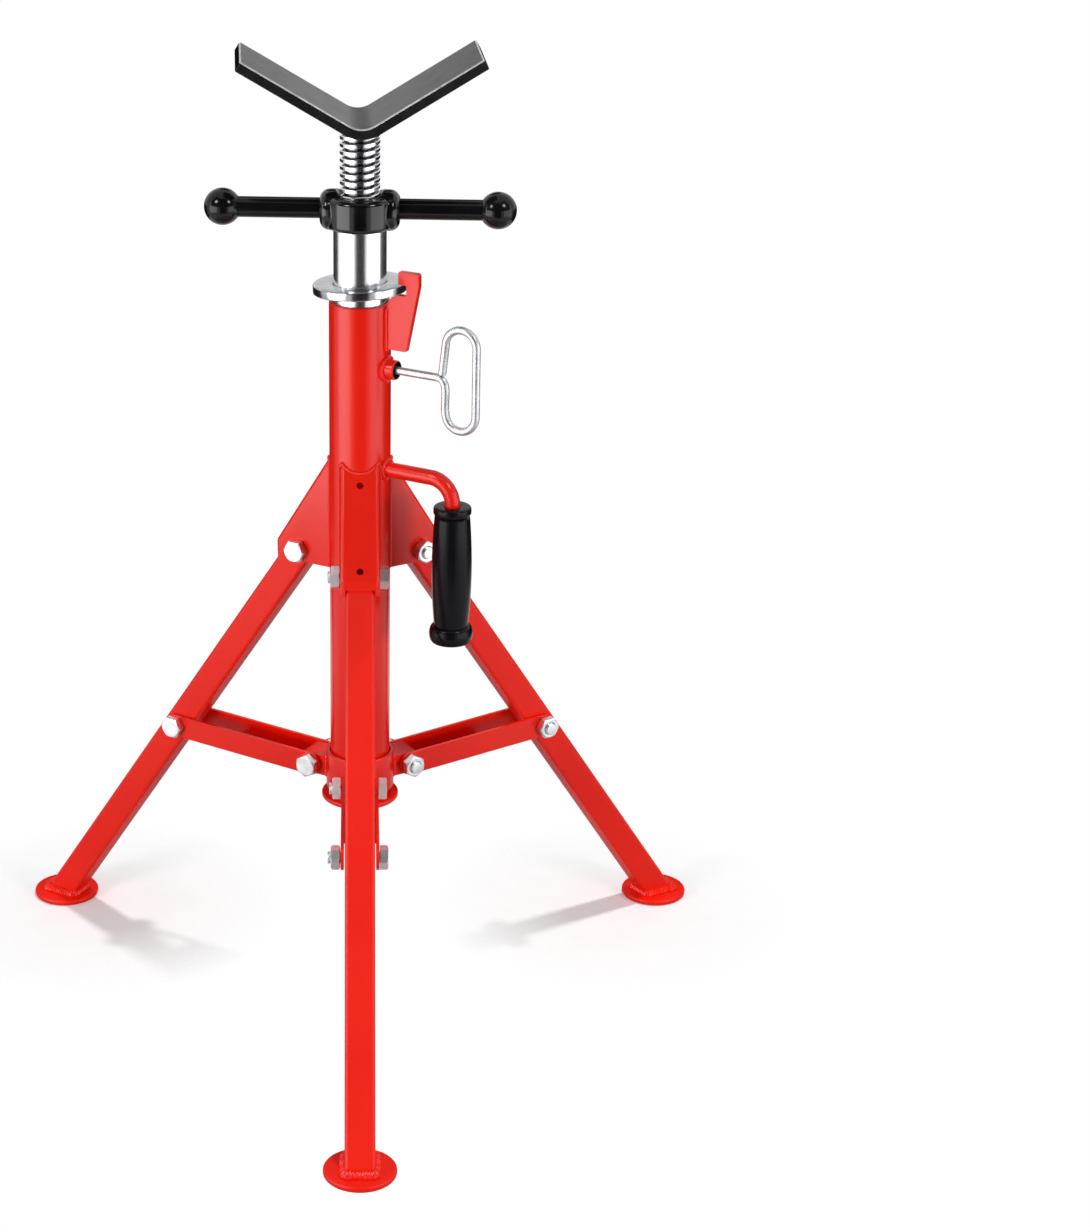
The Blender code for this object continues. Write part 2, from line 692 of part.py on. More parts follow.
def build_tube(mast):
    bore = TUBE_R - TUBE_WALL
    body = cut(tube(bore, TUBE_R, TUBE_BOTTOM, TUBE_TOP, TUBE_SEGMENTS),
               screw_hole(bore, TUBE_R, HANDLE_SIDE, CLAMP_Z))
    place("outer_tube", body, RED_PAINT, mast)
    disc_top = TUBE_BOTTOM - GAP
    disc = tube(DRAIN_D / 2, TUBE_R + STOP_FLANGE, disc_top - STOP_THICKNESS, disc_top, TUBE_SEGMENTS)
    place("stop_disc", disc, RED_PAINT, mast)


def build_handle_side(mast):
    """Keeper plate, safety ring, mast clamp and carry handle, one above the other."""
    sector = frame("handle_sector", mast, (0, 0, 0), (0, 0, HANDLE_SIDE))
    place("ring_keeper", keeper_shape(), RED_PAINT, sector)
    tilt = frame("ring_tilt", sector, (RING_R, 0, RING_PIVOT_Z), (0, -RING_TILT, 0))
    place("safety_ring", ring_shape(), ZINC, tilt, (-RING_R, 0, 0))
    axis = frame("clamp_axis", sector, (0, 0, CLAMP_Z))
    place("clamp_boss", clamp_boss_shape(TUBE_R), RED_PAINT, axis)
    screw = looped_screw(MAST_R + GAP, TUBE_R + CLAMP_REACH, CLAMP_LOOP_HEIGHT, CLAMP_LOOP_WIDTH)
    place("clamp_screw", screw, ZINC, axis)
    build_handle(sector)


def nut_body():
    """Jack nut: a rounded hub with a spigot in the mast and two bosses for the bars."""
    edge = NUT_EDGE
    rings = [(NUT_BORE, -SPIGOT_DEPTH), (SPIGOT_R, -SPIGOT_DEPTH), (SPIGOT_R, 0), (NUT_R - edge, 0),
             (NUT_R, edge), (NUT_R, NUT_HEIGHT - edge), (NUT_R - edge, NUT_HEIGHT), (NUT_BORE, NUT_HEIGHT)]
    mesh = lathe(rings, TUBE_SEGMENTS, True)
    middle = NUT_HEIGHT / 2
    inside = (NUT_BORE + NUT_R) / 2
    face = NUT_R + BOSS_STEP
    for sign in (-1, 1):
        boss_middle = (sign * (inside + face) / 2, 0, middle)
        boss = pin(BOSS_D / 2, face - inside, KNOB_SEGMENTS, (1, 0, 0), boss_middle)
        mesh = join(mesh, boss)
        seat = pin(BAR_D / 2 + GAP, 2 * BAR_SEAT, KNOB_SEGMENTS, (1, 0, 0), (sign * face, 0, middle))
        mesh = cut(mesh, seat)
    return mesh


def ball_shape():
    """Ball along X at the origin, with a flat where the bar meets it."""
    radius = BALL_D / 2
    flat = BAR_D / 2 + BALL_NECK
    start = atan2(flat, -sqrt(radius * radius - flat * flat))
    rings = []
    for step in range(BALL_RINGS):
        angle = start * (1 - step / BALL_RINGS)
        rings.append((radius * sin(angle), radius * cos(angle)))
    rings.append((BALL_FLAT_R, radius))
    return moved(lathe(rings, KNOB_SEGMENTS), Matrix.Rotation(pi / 2, 4, "Y"))


def build_nut(mast_slide):
    turn = frame("nut_turn", mast_slide, (0, 0, NUT_BOTTOM), (0, 0, NUT_YAW))
    place("jack_nut", nut_body(), BLACK_GLOSS, turn)
    middle = NUT_HEIGHT / 2
    start = NUT_R + BOSS_STEP - BAR_SEAT + GAP
    flat = BAR_D / 2 + BALL_NECK
    end = BAR_REACH - sqrt((BALL_D / 2) ** 2 - flat ** 2) - GAP
    for name, spin in (("right", 0), ("left", pi)):
        arm = frame(f"bar_axis_{name}", turn, (0, 0, middle), (0, 0, spin))
        bar = pin(BAR_D / 2, end - start, KNOB_SEGMENTS, (1, 0, 0), ((start + end) / 2, 0, 0))
        place(f"nut_bar_{name}", bar, BLACK_GLOSS, arm)
        place(f"ball_knob_{name}", ball_shape(), BLACK_GLOSS, arm, (BAR_REACH, 0, 0))


def threaded_rod(bottom, top):
    """Right-handed trapezoidal thread, with run-outs at both ends and a plain disc at each."""
    crest = SCREW_R
    root = SCREW_R - THREAD_DEPTH
    flank = THREAD_DEPTH * tan(THREAD_FLANK) / SCREW_PITCH
    land = THREAD_LAND / SCREW_PITCH
    profile = [(0, 0), (flank, 1), (flank + land, 1), (2 * flank + land, 0)]
    count = SCREW_SEGMENTS
    turns = int((top - bottom) / SCREW_PITCH) - 2
    last = turns * count
    spare = (top - bottom) - (turns + 1) * SCREW_PITCH
    bm = bmesh.new()
    columns = []
    for index in range(last + 1):
        angle = 2 * pi * index / count
        swell = min(1, 2 * index / count, 2 * (last - index) / count)
        column = []
        for share, height in profile:
            radius = root + (crest - root) * height * swell
            z = bottom + spare / 2 + SCREW_PITCH * (index / count + share)
            column.append(bm.verts.new((radius * cos(angle), radius * sin(angle), z)))
        columns.append(column)
    ends = []
    for height in (bottom, top):
        ring = []
        for index in range(count):
            angle = 2 * pi * index / count
            ring.append(bm.verts.new((root * cos(angle), root * sin(angle), height)))
        bm.faces.new(ring)
        ends.append(ring)
    foot, head = ends
    for index in range(last):
        here, there = columns[index], columns[index + 1]
        for row in range(3):
            bm.faces.new((here[row], there[row], there[row + 1], here[row + 1]))
        if index + count < last:
            above, beyond = columns[index + count], columns[index + count + 1]
            bm.faces.new((here[3], there[3], beyond[0], above[0]))
    for index in range(count - 1):
        here, there = columns[index], columns[index + 1]
        bm.faces.new((foot[index], foot[index + 1], there[0], here[0]))
    bm.faces.new((foot[-1], foot[0], *columns[0], columns[count][0], columns[count - 1][0]))
    first = last - count
    bm.faces.new((columns[first][3], columns[first + 1][3], head[1], head[0], *reversed(columns[last])))
    for index in range(first + 1, last):
        here, there = columns[index], columns[index + 1]
        step = (index - first) % count
        bm.faces.new((here[3], there[3], head[(step + 1) % count], head[step]))
    return to_mesh(bm)


def v_underside(offset):
    """Underside of the V from left tip to right tip, a distance below the bar itself.

    Counted from the lowest point of the bend's underside."""
    outer = V_BEND + V_THICKNESS
    radius = outer + offset
    apex = outer - V_BEND / cos(V_SLOPE)
    tip = (V_ARM * cos(V_SLOPE), apex + V_ARM * sin(V_SLOPE))
    below = (V_THICKNESS + offset) * sin(V_SLOPE), (V_THICKNESS + offset) * cos(V_SLOPE)
    bend = arc((0, outer), radius, -pi / 2 - V_SLOPE, -pi / 2 + V_SLOPE, ROUND_STEPS)
    left = (-tip[0] - below[0], tip[1] - below[1])
    right = (tip[0] + below[0], tip[1] - below[1])
    return [left, *bend, right]


def v_shape():
    return prism(v_underside(0) + v_underside(-V_THICKNESS)[::-1], V_WIDTH)


def screw_shape(bottom):
    """Threaded rod with its top end coped to the V's underside. Origin at the V's lowest point."""
    rise = SCREW_R * tan(V_SLOPE) + 2 * SCREW_PITCH
    roof = V_ARM
    edge = v_underside(GAP)
    cutter = prism([*edge, (edge[-1][0], roof), (edge[0][0], roof)], SCREW_OD * 2)
    return cut(threaded_rod(bottom, rise), cutter)


def build_mast(mast):
    slide = frame("mast_slide", mast)
    body = tube(MAST_R - MAST_WALL, MAST_R, TUBE_BOTTOM, MAST_TOP, TUBE_SEGMENTS)
    place("inner_tube", body, ZINC, slide)
    build_nut(slide)
    head = frame("screw_lift", slide, (0, 0, SCREW_TOP), (0, 0, V_YAW))
    place("v_head", v_shape(), BLACK_OXIDE, head)
    place("jack_screw", screw_shape(-SCREW_SHOWN - NUT_HEIGHT - SCREW_BELOW_NUT), ZINC, head)


def build_stand():
    mast = frame("stand", None, (0, MAST_Y, 0))
    build_tube(mast)
    for side, azimuth in LEG_SIDES.items():
        sector = frame(f"sector_{side}", mast, (0, 0, 0), (0, 0, azimuth))
        place(f"leg_bracket_{side}", bracket_shape(), RED_PAINT, sector)
        build_leg(side, sector)
    build_collar(mast)
    build_handle_side(mast)
    build_mast(mast)


clear_scene()
build_stand()
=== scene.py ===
"""Looks of a folding tripod pipe stand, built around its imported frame.

Metres, +Z up. A sector frame has X pointing out from the mast, Y counter-clockwise and Z up.
"""
import json
from math import atan2, ceil, cos, hypot, pi, radians, sin, sqrt, tan

import bmesh
import bpy
from mathutils import Matrix, Vector, noise
from mathutils.geometry import interpolate_bezier


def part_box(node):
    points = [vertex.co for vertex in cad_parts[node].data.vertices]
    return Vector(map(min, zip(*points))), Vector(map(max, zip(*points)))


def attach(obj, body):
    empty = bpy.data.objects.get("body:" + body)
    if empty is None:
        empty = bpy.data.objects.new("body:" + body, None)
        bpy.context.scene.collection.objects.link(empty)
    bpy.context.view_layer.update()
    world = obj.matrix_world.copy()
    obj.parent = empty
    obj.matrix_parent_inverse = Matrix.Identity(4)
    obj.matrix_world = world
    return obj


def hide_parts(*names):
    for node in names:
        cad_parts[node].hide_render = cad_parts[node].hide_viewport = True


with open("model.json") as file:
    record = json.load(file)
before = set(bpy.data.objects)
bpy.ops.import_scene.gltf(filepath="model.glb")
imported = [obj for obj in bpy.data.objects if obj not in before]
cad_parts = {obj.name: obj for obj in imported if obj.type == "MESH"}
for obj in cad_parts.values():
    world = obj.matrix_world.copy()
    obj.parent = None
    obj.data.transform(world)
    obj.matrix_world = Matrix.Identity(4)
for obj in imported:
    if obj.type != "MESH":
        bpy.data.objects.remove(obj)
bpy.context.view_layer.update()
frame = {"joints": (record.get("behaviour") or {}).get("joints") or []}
joint_at = {joint["name"]: joint.get("pos_m") for joint in frame["joints"]}

# Places taken from the frame
tube_low, tube_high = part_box("outer_tube")
mast_low, mast_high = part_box("inner_tube")
collar_low, collar_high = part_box("collar")
foot_low, foot_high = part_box("foot_front")
MAST_Y = (tube_low.y + tube_high.y) / 2
TUBE_R = (tube_high.x - tube_low.x) / 2
TUBE_TOP = tube_high.z
MAST_R = (mast_high.x - mast_low.x) / 2
COLLAR_R = (collar_high.x - collar_low.x) / 2
PIVOT_R = MAST_Y - joint_at["leg_front_fold"][1]
PIVOT_Z = joint_at["leg_front_fold"][2]
LUG_R = MAST_Y - joint_at["brace_front_fold"][1]
LUG_Z = joint_at["brace_front_fold"][2]
FOOT_R = MAST_Y - (foot_low.y + foot_high.y) / 2
FOOT_THICKNESS = foot_high.z - foot_low.z
RING_R = hypot(joint_at["ring_tilt"][0], joint_at["ring_tilt"][1] - MAST_Y)
RING_PIVOT_Z = joint_at["ring_tilt"][2]
CLAMP_Z = joint_at["clamp_screw_turn"][2]
COLLAR_CLAMP_Z = joint_at["collar_screw_turn"][2]
NUT_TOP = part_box("jack_nut")[1].z
SCREW_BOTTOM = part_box("jack_screw")[0].z
V_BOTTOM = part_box("v_head")[0].z

# Walls, fits and edges
GAP = 0.0003
TUBE_WALL = 0.003
TUBE_EDGE = 0.0007
MAST_WALL = 0.003
MAST_EDGE = 0.0006
COLLAR_BORE = TUBE_R + 0.0005
COLLAR_EDGE = 0.0008
DRAIN_R = 0.010
DISC_EDGE = 0.0012
EDGE = 0.0005
BEVEL_ANGLE = radians(40)
BEVEL_STEPS = 2

# Jack screw and nut; the last three of the thread are shares of its height, its flank and its depth
SCREW_R = 0.016
SCREW_PITCH = 0.006
THREAD_DEPTH = 0.0035
THREAD_LAND = 0.0032
THREAD_FLANK = radians(15)
THREAD_BREAK = 0.86
THREAD_CREST = 0.5
THREAD_CLEAN = 0.3
NUT_HEIGHT = 0.026
NUT_R = 0.0270
NUT_SKIRT = 0.0024
NUT_BORE = 0.0164
NUT_EDGE = 0.0042
NUT_LEAD_R = 0.003
NUT_LEAD_Z = 0.006
NUT_VOXEL = 0.0006
NUT_SMOOTHING = {"factor": 0.5, "iterations": 9}
BOSS_R = 0.0164
BOSS_FACE = 0.0318
BOSS_EDGE = 0.0080
BOSS_DROP = 0.001
BAR_R = 0.00825
BAR_START = BOSS_FACE - 0.0087
BAR_REACH = 0.109
BALL_R = 0.01475
BALL_NECK_R = 0.00925
BALL_NECK = sqrt(BALL_R * BALL_R - BALL_NECK_R * BALL_NECK_R)
NUT_YAW = radians(-3.6)

# V head; its outer radius and apex are those of the bend
V_WIDTH = 0.0805
V_THICKNESS = 0.0084
V_ARM = 0.1084
V_SLOPE = radians(31)
V_BEND = 0.018
V_OUTER = V_BEND + V_THICKNESS
V_APEX = V_OUTER - V_BEND / cos(V_SLOPE)
V_RISE = 0.0011
V_YAW = radians(2.5)
V_EDGE = 0.0011
SCREW_INTO_V = 0.9 * V_THICKNESS

# Legs and brackets
LEG_SIZE = 0.024
LEG_WALL = 0.002
LEG_CORNER = 0.003
LEG_ANGLE = radians(34)
LEG_TAIL = 0.011
FOOT_RADIUS = 0.029
FOOT_EDGE = 0.0018
BRACKET_WALL = 0.0032
BRACKET_INSIDE = 0.0256
BRACKET_OUTSIDE = BRACKET_INSIDE + 2 * BRACKET_WALL
BRACKET_R = 0.071603
BRACKET_FOLD = 0.0034
WEB_Z = PIVOT_Z + 0.0794
WEB_CORNER_Z = PIVOT_Z + 0.0054
WEB_LEAN = (BRACKET_R - TUBE_R) / (WEB_Z - WEB_CORNER_Z)
LIP_Z = PIVOT_Z - 0.0036
FLANGE_Z = PIVOT_Z - 0.0096
FLANGE_CORNER = 0.003
WEB_HOLE_R = 0.00275
WEB_HOLES = (0.007, 0.078)

# Collar lugs and braces
LUG_NOSE = 0.009
LUG_HEIGHT = 0.019
LUG_WIDTH = 0.024
LUG_EDGE = 0.003
BRACE_ON_LEG = 0.228
BRACE_WALL = 0.0026
BRACE_INSIDE = 0.0256
BRACE_OUTSIDE = BRACE_INSIDE + 2 * BRACE_WALL
BRACE_HEIGHT = 0.020
BRACE_FOLD = 0.0026
BRACE_CUT_COLLAR = 0.016
BRACE_CUT_LEG = 0.048
BRACE_END_R = PIVOT_R + BRACE_ON_LEG * sin(LEG_ANGLE)
BRACE_END_Z = PIVOT_Z - BRACE_ON_LEG * cos(LEG_ANGLE)
BRACE_LENGTH = hypot(BRACE_END_R - LUG_R, BRACE_END_Z - LUG_Z)
BRACE_PITCH = atan2(BRACE_END_Z - LUG_Z, BRACE_END_R - LUG_R)

# Bolts; one turn of thread goes through (share of the pitch, share of the depth) points
BOLT_R = 0.005
BOLT_HOLE_R = 0.0053
HEX_FLATS = 0.017
HEX_CROWN = 0.0080
HEAD_HEIGHT = 0.0068
NUT_THICKNESS = 0.0075
BOLT_TIP = 0.0025
BOLT_PITCH = 0.0011
BOLT_THREAD = 0.0005
BOLT_FORM = ((0.1, 1), (0.45, 0), (0.6, 0), (0.95, 1))

# Safety ring and its keeper
RING_BORE = MAST_R + 0.0006
RING_THICKNESS = 0.007
RING_TILT = radians(3.5)
RING_EDGE = 0.0008
NOTCH_FIT = 0.0007
KEEPER_PLATE = 0.005
KEEPER_BOTTOM = TUBE_TOP - 0.036
KEEPER_FOOT = 0.0187
KEEPER_BACK = 0.0115
KEEPER_ROOT = 0.0055
KEEPER_HOOK = 0.0018
KEEPER_BITE = 0.006
KEEPER_CREST = 0.011

# Clamping screws and their bosses
CLAMP_ROD = 0.0065
CLAMP_BOSS_R = 0.008
CLAMP_BOSS_LENGTH = 0.009
CLAMP_BOSS_ROOT = 0.0018
CLAMP_HOLE_R = 0.00355
CLAMP_MOUTH_R = 0.006
CLAMP_MOUTH_DEPTH = 0.0072
CLAMP_REACH = 0.067
CLAMP_LOOP = (0.090, 0.034)
COLLAR_CLAMP_REACH = 0.036
COLLAR_LOOP = (0.046, 0.026)
LOOP_ENTRY = radians(60)
LOOP_NECK = 0.0085
LOOP_LEAN = 0.003
LOOP_PULL = 0.42

# Carry handle and grip
HANDLE_ROD = 0.0125
HANDLE_REACH = TUBE_R + 0.061
HANDLE_BEND = 0.020
GRIP_DROP = 0.0210
GRIP_LENGTH = 0.1178
GRIP_TOP_R = 0.0144
GRIP_SWELL_R = 0.0170
GRIP_WAIST_R = 0.0140
GRIP_FLANGE_R = 0.0154
GRIP_FLANGE = 0.007
GRIP_EDGE = 0.002
GRIP_BULB_R = 0.0180
GRIP_BULB = 0.015
GRIP_BASE_R = 0.0082
GRIP_FLOOR = 0.006

# Weld beads: their radii, their ripples, and shares of the radius by which a bead's middle stands off
WELD_PITCH = 0.0024
WELD_STEP = 0.0006
FOOT_WELD = 0.0046
TUBE_WELD = 0.0017
BOSS_WELD = 0.0024
SCREW_WELD = 0.0030
SCREW_WELD_R = SCREW_R - 0.0007
WELD_ASIDE = 0.3
WELD_PROUD = 0.2
WELD_BODY = 0.86
WELD_RIPPLE = 0.13
WELD_WANDER = 0.22
WELD_GRAIN = 160
WELD_TIP = 0.35
WELD_TAPER = 4
BRACKET_WELD_IN = 0.6 * BRACKET_FOLD
BRACKET_WELD_DROP = 1.6 * BRACKET_FOLD

# Directions, how finely round shapes are divided, and how close counts as the same
LEG_SIDES = {"front": radians(-90), "right": radians(30), "left": radians(150)}
HANDLE_SIDE = radians(-30)
COLLAR_CLAMP_SIDE = radians(90)
SEGMENTS = 96
HEX_SEGMENTS = 72
THREAD_SEGMENTS = 72
HOLE_SEGMENTS = 32
ROD_SIDES = 24
BEAD_SIDES = 10
ROUND_STEPS = 24
CORNER_STEPS = 8
FOLD_STEPS = 6
EDGE_STEPS = 4
ARC_STEP = 0.0015
RUN_STEP = 0.004
SMOOTH_ANGLE = radians(29)
NEAR = 0.0005
SLACK = 0.01

# Finishes: where the mottle goes from one tone to the other, a darker tone towards a thread's root, and a
# mix node's colour sockets
BLACK = (0, 0, 0)
WHITE = (1, 1, 1)
MOTTLE = (0.3, 0.7)
GRAIN_DEPTH = 0.0004
ROOT_TONE = (0.16, 0.16, 0.17)
MIX_A, MIX_B, MIX_RESULT = 6, 7, 2

# Floor: it shows in spots by the rear feet. Each ramp is two stops of a distance or noise and a colour.
FLOOR_SIZE = 30
FLOOR_SPOTS = ("right", "left")
SPOT_R = 0.27
FLOOR_TONES = ((0.3, (0.92, 0.92, 0.92)), (0.7, (0.95, 0.95, 0.95)))
FLOOR_FADE = ((0.05, BLACK), (0.17, WHITE))
FLOOR_MIRRORED = ((0.45, BLACK), (0.60, WHITE))
FLOOR_GREY = (0.5, 0.5, 0.5)
FLOOR_GLOW = 0.08

# Light, with angles in degrees: cards by bearing, spread, bottom and top; lamps by bearing, distance,
# height, size, power and whether they only make reflections
AMBIENT_TONE = (0.96, 0.98, 1.0)
AMBIENT = 0.40
CARD_R = 1.0
CARD_TONES = ((0.015, 0.015, 0.015), (0.025, 0.025, 0.025))
CARDS = {
    "card_front": (-89, 42, 0, 0.8),
    "card_high": (-90, 160, 0.8, 2.4),
    "card_back": (84.5, 157, 0, 0.62),
    "card_slot": (90, 30, 1.05, 1.7),
}
LAMP_AIM = 0.45
LAMPS = {
    "key_box": (-140, 3.0, 0.75, (0.66, 0.66), 42.5, False),
    "fill_box": (-40, 3.0, 0.75, (0.66, 0.66), 32.5, False),
    "left_box": (-150, 1.37, 0.60, (1.25, 1.2), 18.0, True),
    "right_box": (-28, 1.35, 0.60, (1.30, 1.2), 9.0, True),
    "top_box": (30, 0.45, 2.3, (0.12, 0.12), 21.5, False),
    "left_spark": (-140, 0.90, 1.30, (0.24, 0.24), 4.0, True),
    "right_spark": (-42, 0.90, 1.35, (0.24, 0.24), 3.5, True),
}

# Camera, fitted to the photograph
IMAGE_SIZE = (1090, 1232)
FOCAL_PIXELS = 2909.8
FRAME_CENTRE = (360, 610)
SENSOR_WIDTH = 36
CAMERA_BACK = 2.24687
CAMERA_Z = 1.25589
CAMERA_PITCH = radians(22.06)


def place(x, y, z):
    return Matrix.Translation((x, y, z))


def turn(angle, axis):
    return Matrix.Rotation(angle, 4, axis)


def sector(side):
    return place(0, MAST_Y, 0) @ turn(side, "Z")


def linked(name, data):
    """New object in the scene."""
    item = bpy.data.objects.new(name, data)
    bpy.context.collection.objects.link(item)
    return item


def modify(item, kind, **values):
    modifier = item.modifiers.new(kind, kind)
    for key, value in values.items():
        setattr(modifier, key, value)


def to_mesh(bm):
    bmesh.ops.recalc_face_normals(bm, faces=bm.faces)
    mesh = bpy.data.meshes.new("shape")
    bm.to_mesh(mesh)
    bm.free()
    return shade(mesh)


def shade(mesh):
    mesh.shade_smooth()
    mesh.set_sharp_from_angle(angle=SMOOTH_ANGLE)
    return mesh


def moved(mesh, matrix):
    mesh.transform(matrix)
    return mesh


def merged(*meshes):
    """Several shapes as one mesh."""
    bm = bmesh.new()
    for mesh in meshes:
        bm.from_mesh(mesh)
    return to_mesh(bm)


def at(value, angle):
    return value(angle) if callable(value) else value


def skin(bm, loops, closed=False):
    """Faces from each loop of vertices to the next; a pole is one vertex repeated."""
    pairs = list(zip(loops, loops[1:]))
    if closed:
        pairs.append((loops[-1], loops[0]))
    for lower, upper in pairs:
        for step in range(len(lower)):
            after = (step + 1) % len(lower)
            corners = (lower[step], lower[after], upper[after], upper[step])
            bm.faces.new(list(dict.fromkeys(corners)))


def lathe(profile, segments=SEGMENTS, closed=False):
    """Turned shape about Z from (radius, height) points; a radius of 0 is a pole."""
    bm = bmesh.new()
    loops = []
    for radius, height in profile:
        if radius == 0:
            loops.append([bm.verts.new((0, 0, height))] * segments)
            continue
        loop = []
        for step in range(segments):
            angle = 2 * pi * step / segments
            reach = at(radius, angle)
            loop.append(bm.verts.new((reach * cos(angle), reach * sin(angle), at(height, angle))))
        loops.append(loop)
    skin(bm, loops, closed)
    return to_mesh(bm)


def rounded(corners, steps=EDGE_STEPS):
    """Closed outline from (x, z, radius) corners, each rounded by its radius."""
    points = []
    for index, (x, z, radius) in enumerate(corners):
        corner = Vector((x, z))
        if radius == 0:
            points.append((x, z))
            continue
        before = (Vector(corners[index - 1][:2]) - corner).normalized()
        after = (Vector(corners[(index + 1) % len(corners)][:2]) - corner).normalized()
        half = before.angle(after) / 2
        centre = corner + (before + after).normalized() * radius / sin(half)
        first = corner + before * radius / tan(half) - centre
        last = corner + after * radius / tan(half) - centre
        for step in range(steps + 1):
            points.append(tuple(centre + first.slerp(last, step / steps) * radius))
    return points


def rounded_box(left, right, low, high, radius, steps=EDGE_STEPS):
    corners = ((left, low), (right, low), (right, high), (left, high))
    return rounded([(x, z, radius) for x, z in corners], steps)


def ring(inner, outer, bottom, top, edge):
    """Tube or ring with rounded edges."""
    return lathe(rounded_box(inner, outer, bottom, top, edge), closed=True)


def cylinder(radius, bottom, top, segments=SEGMENTS):
    return lathe([(0, bottom), (radius, bottom), (radius, top), (0, top)], segments)


def pin(radius, length, along, centre):
    """Cylinder for a small hole, along a direction and centred on a point."""
    swing = Vector((0, 0, 1)).rotation_difference(Vector(along)).to_matrix().to_4x4()
    return moved(cylinder(radius, -length / 2, length / 2, HOLE_SEGMENTS), place(*centre) @ swing)


def prism(outline, width):
    """Plate or block: an (x, z) outline with its thickness along Y, centred."""
    bm = bmesh.new()
    sides = []
    for y in (-width / 2, width / 2):
        sides.append([bm.verts.new((x, y, z)) for x, z in outline])
        bm.faces.new(sides[-1])
    skin(bm, sides)
    return to_mesh(bm)


def folded(mesh, radius, chosen):
    """Round the long edges that a test chooses, as a fold in sheet metal."""
    bm = bmesh.new()
    bm.from_mesh(mesh)
    edges = [edge for edge in bm.edges if chosen(*(vert.co for vert in edge.verts))]
    bmesh.ops.bevel(bm, geom=edges, offset=radius, segments=FOLD_STEPS, affect="EDGES", profile=0.5)
    return to_mesh(bm)


def baked(mesh, *settings):
    """Mesh with modifiers applied; each setting is a modifier type and its values."""
    body = linked("body", mesh)
    for kind, values in settings:
        modify(body, kind, **values)
    evaluated = body.evaluated_get(bpy.context.evaluated_depsgraph_get())
    result = bpy.data.meshes.new_from_object(evaluated)
    bpy.data.objects.remove(body)
    return shade(result)


def combine(mesh, tools, operation):
    helpers = [linked("tool", tool) for tool in tools]
    settings = [{"operation": operation, "solver": "EXACT", "object": helper} for helper in helpers]
    result = baked(mesh, *(("BOOLEAN", values) for values in settings))
    for helper in helpers:
        bpy.data.objects.remove(helper)
    return result


def cut(mesh, *tools):
    return combine(mesh, tools, "DIFFERENCE")


def arc(centre, radius, start, end, steps):
    angles = [start + (end - start) * step / steps for step in range(steps + 1)]
    return [(centre[0] + radius * cos(angle), centre[1] + radius * sin(angle)) for angle in angles]


def circle(radius):
    return arc((0, 0), radius, 0, 2 * pi, 2 * ROUND_STEPS)[:-1]


def resampled(path, step):
    """Path with its points about a step apart."""
    points = []
    for start, end in zip(path, path[1:]):
        count = max(1, ceil((end - start).length / step))
        for index in range(count):
            points.append(start.lerp(end, index / count))
    points.append(path[-1])
    return points


def sweep(path, radius, up, sides=ROD_SIDES, closed=False):
    """Round section along a path; radius may depend on the point's index, and up on the point."""
    bm = bmesh.new()
    count = len(path)
    loops = []
    for index, point in enumerate(path):
        before = path[index - 1] if closed or index > 0 else point
        after = path[(index + 1) % count] if closed or index < count - 1 else point
        tangent = (after - before).normalized()
        across = tangent.cross(at(up, point)).normalized()
        normal = across.cross(tangent)
        reach = at(radius, index)
        loop = []
        for step in range(sides):
            angle = 2 * pi * step / sides
            loop.append(bm.verts.new(point + (across * cos(angle) + normal * sin(angle)) * reach))
        loops.append(loop)
    if not closed:
        bm.faces.new(loops[0])
        bm.faces.new(loops[-1])
    skin(bm, loops, closed)
    return to_mesh(bm)


def rod(points, diameter):
    """Bent round rod along (x, z) points, with its end edges broken."""
    path = resampled([Vector((x, 0, z)) for x, z in points], RUN_STEP)
    path.insert(1, path[0].lerp(path[1], EDGE / (path[1] - path[0]).length))
    path.insert(-1, path[-1].lerp(path[-2], EDGE / (path[-1] - path[-2]).length))
    ends = (0, len(path) - 1)
    return sweep(path, lambda index: diameter / 2 - (EDGE if index in ends else 0), Vector((0, 1, 0)))


def bead(path, radius, up, closed=False):
    """Weld bead with the ripples of its run."""
    path = [Vector(point) for point in path]
    points = resampled([*path, path[0]] if closed else path, WELD_STEP)
    if closed:
        points.pop()
    last = len(points) - 1

    def reach(index):
        ripple = abs(sin(pi * index * WELD_STEP / WELD_PITCH))
        wander = noise.noise(points[index] * WELD_GRAIN)
        ends = 1 if closed else min(1, WELD_TIP + min(index, last - index) / WELD_TAPER)
        return radius * (WELD_BODY + WELD_RIPPLE * ripple + WELD_WANDER * wander) * ends

    mesh = sweep(points, reach, up, BEAD_SIDES, closed)
    mesh.shade_smooth()
    return mesh


def from_mast(point):
    return Vector((point.x, point.y, 0))


def root_weld(radius, surface):
    """Bead round a rod or boss along X, lying on the tube or collar that it stands on."""
    off = WELD_ASIDE * BOSS_WELD
    path = [(sqrt(surface * surface - y * y) + off, y, z) for y, z in circle(radius + off)]
    return bead(path, BOSS_WELD, Vector((1, 0, 0)), True)


def feed(target, values):
    """Give a shader node its settings and inputs; a socket is linked to the input."""
    for key, value in values.items():
        if isinstance(value, bpy.types.NodeSocket):
            target.id_data.links.new(value, target.inputs[key])
        elif isinstance(key, int) or key in target.inputs:
            target.inputs[key].default_value = value
        else:
            setattr(target, key, value)
    return target.outputs


def node(tree, kind, *sources, **values):
    """Outputs of a new shader node; sources are for its first inputs, in their order."""
    made = tree.nodes.new(kind)
    feed(made, values)
    return feed(made, dict(enumerate(sources)))


def ramped(tree, value, stops):
    """Colour of a value between two (position, colour) stops."""
    result = node(tree, "ShaderNodeValToRGB", value)["Color"]
    for element, (position, colour) in zip(result.node.color_ramp.elements, stops):
        element.position = position
        element.color = (*colour, 1)
    return result


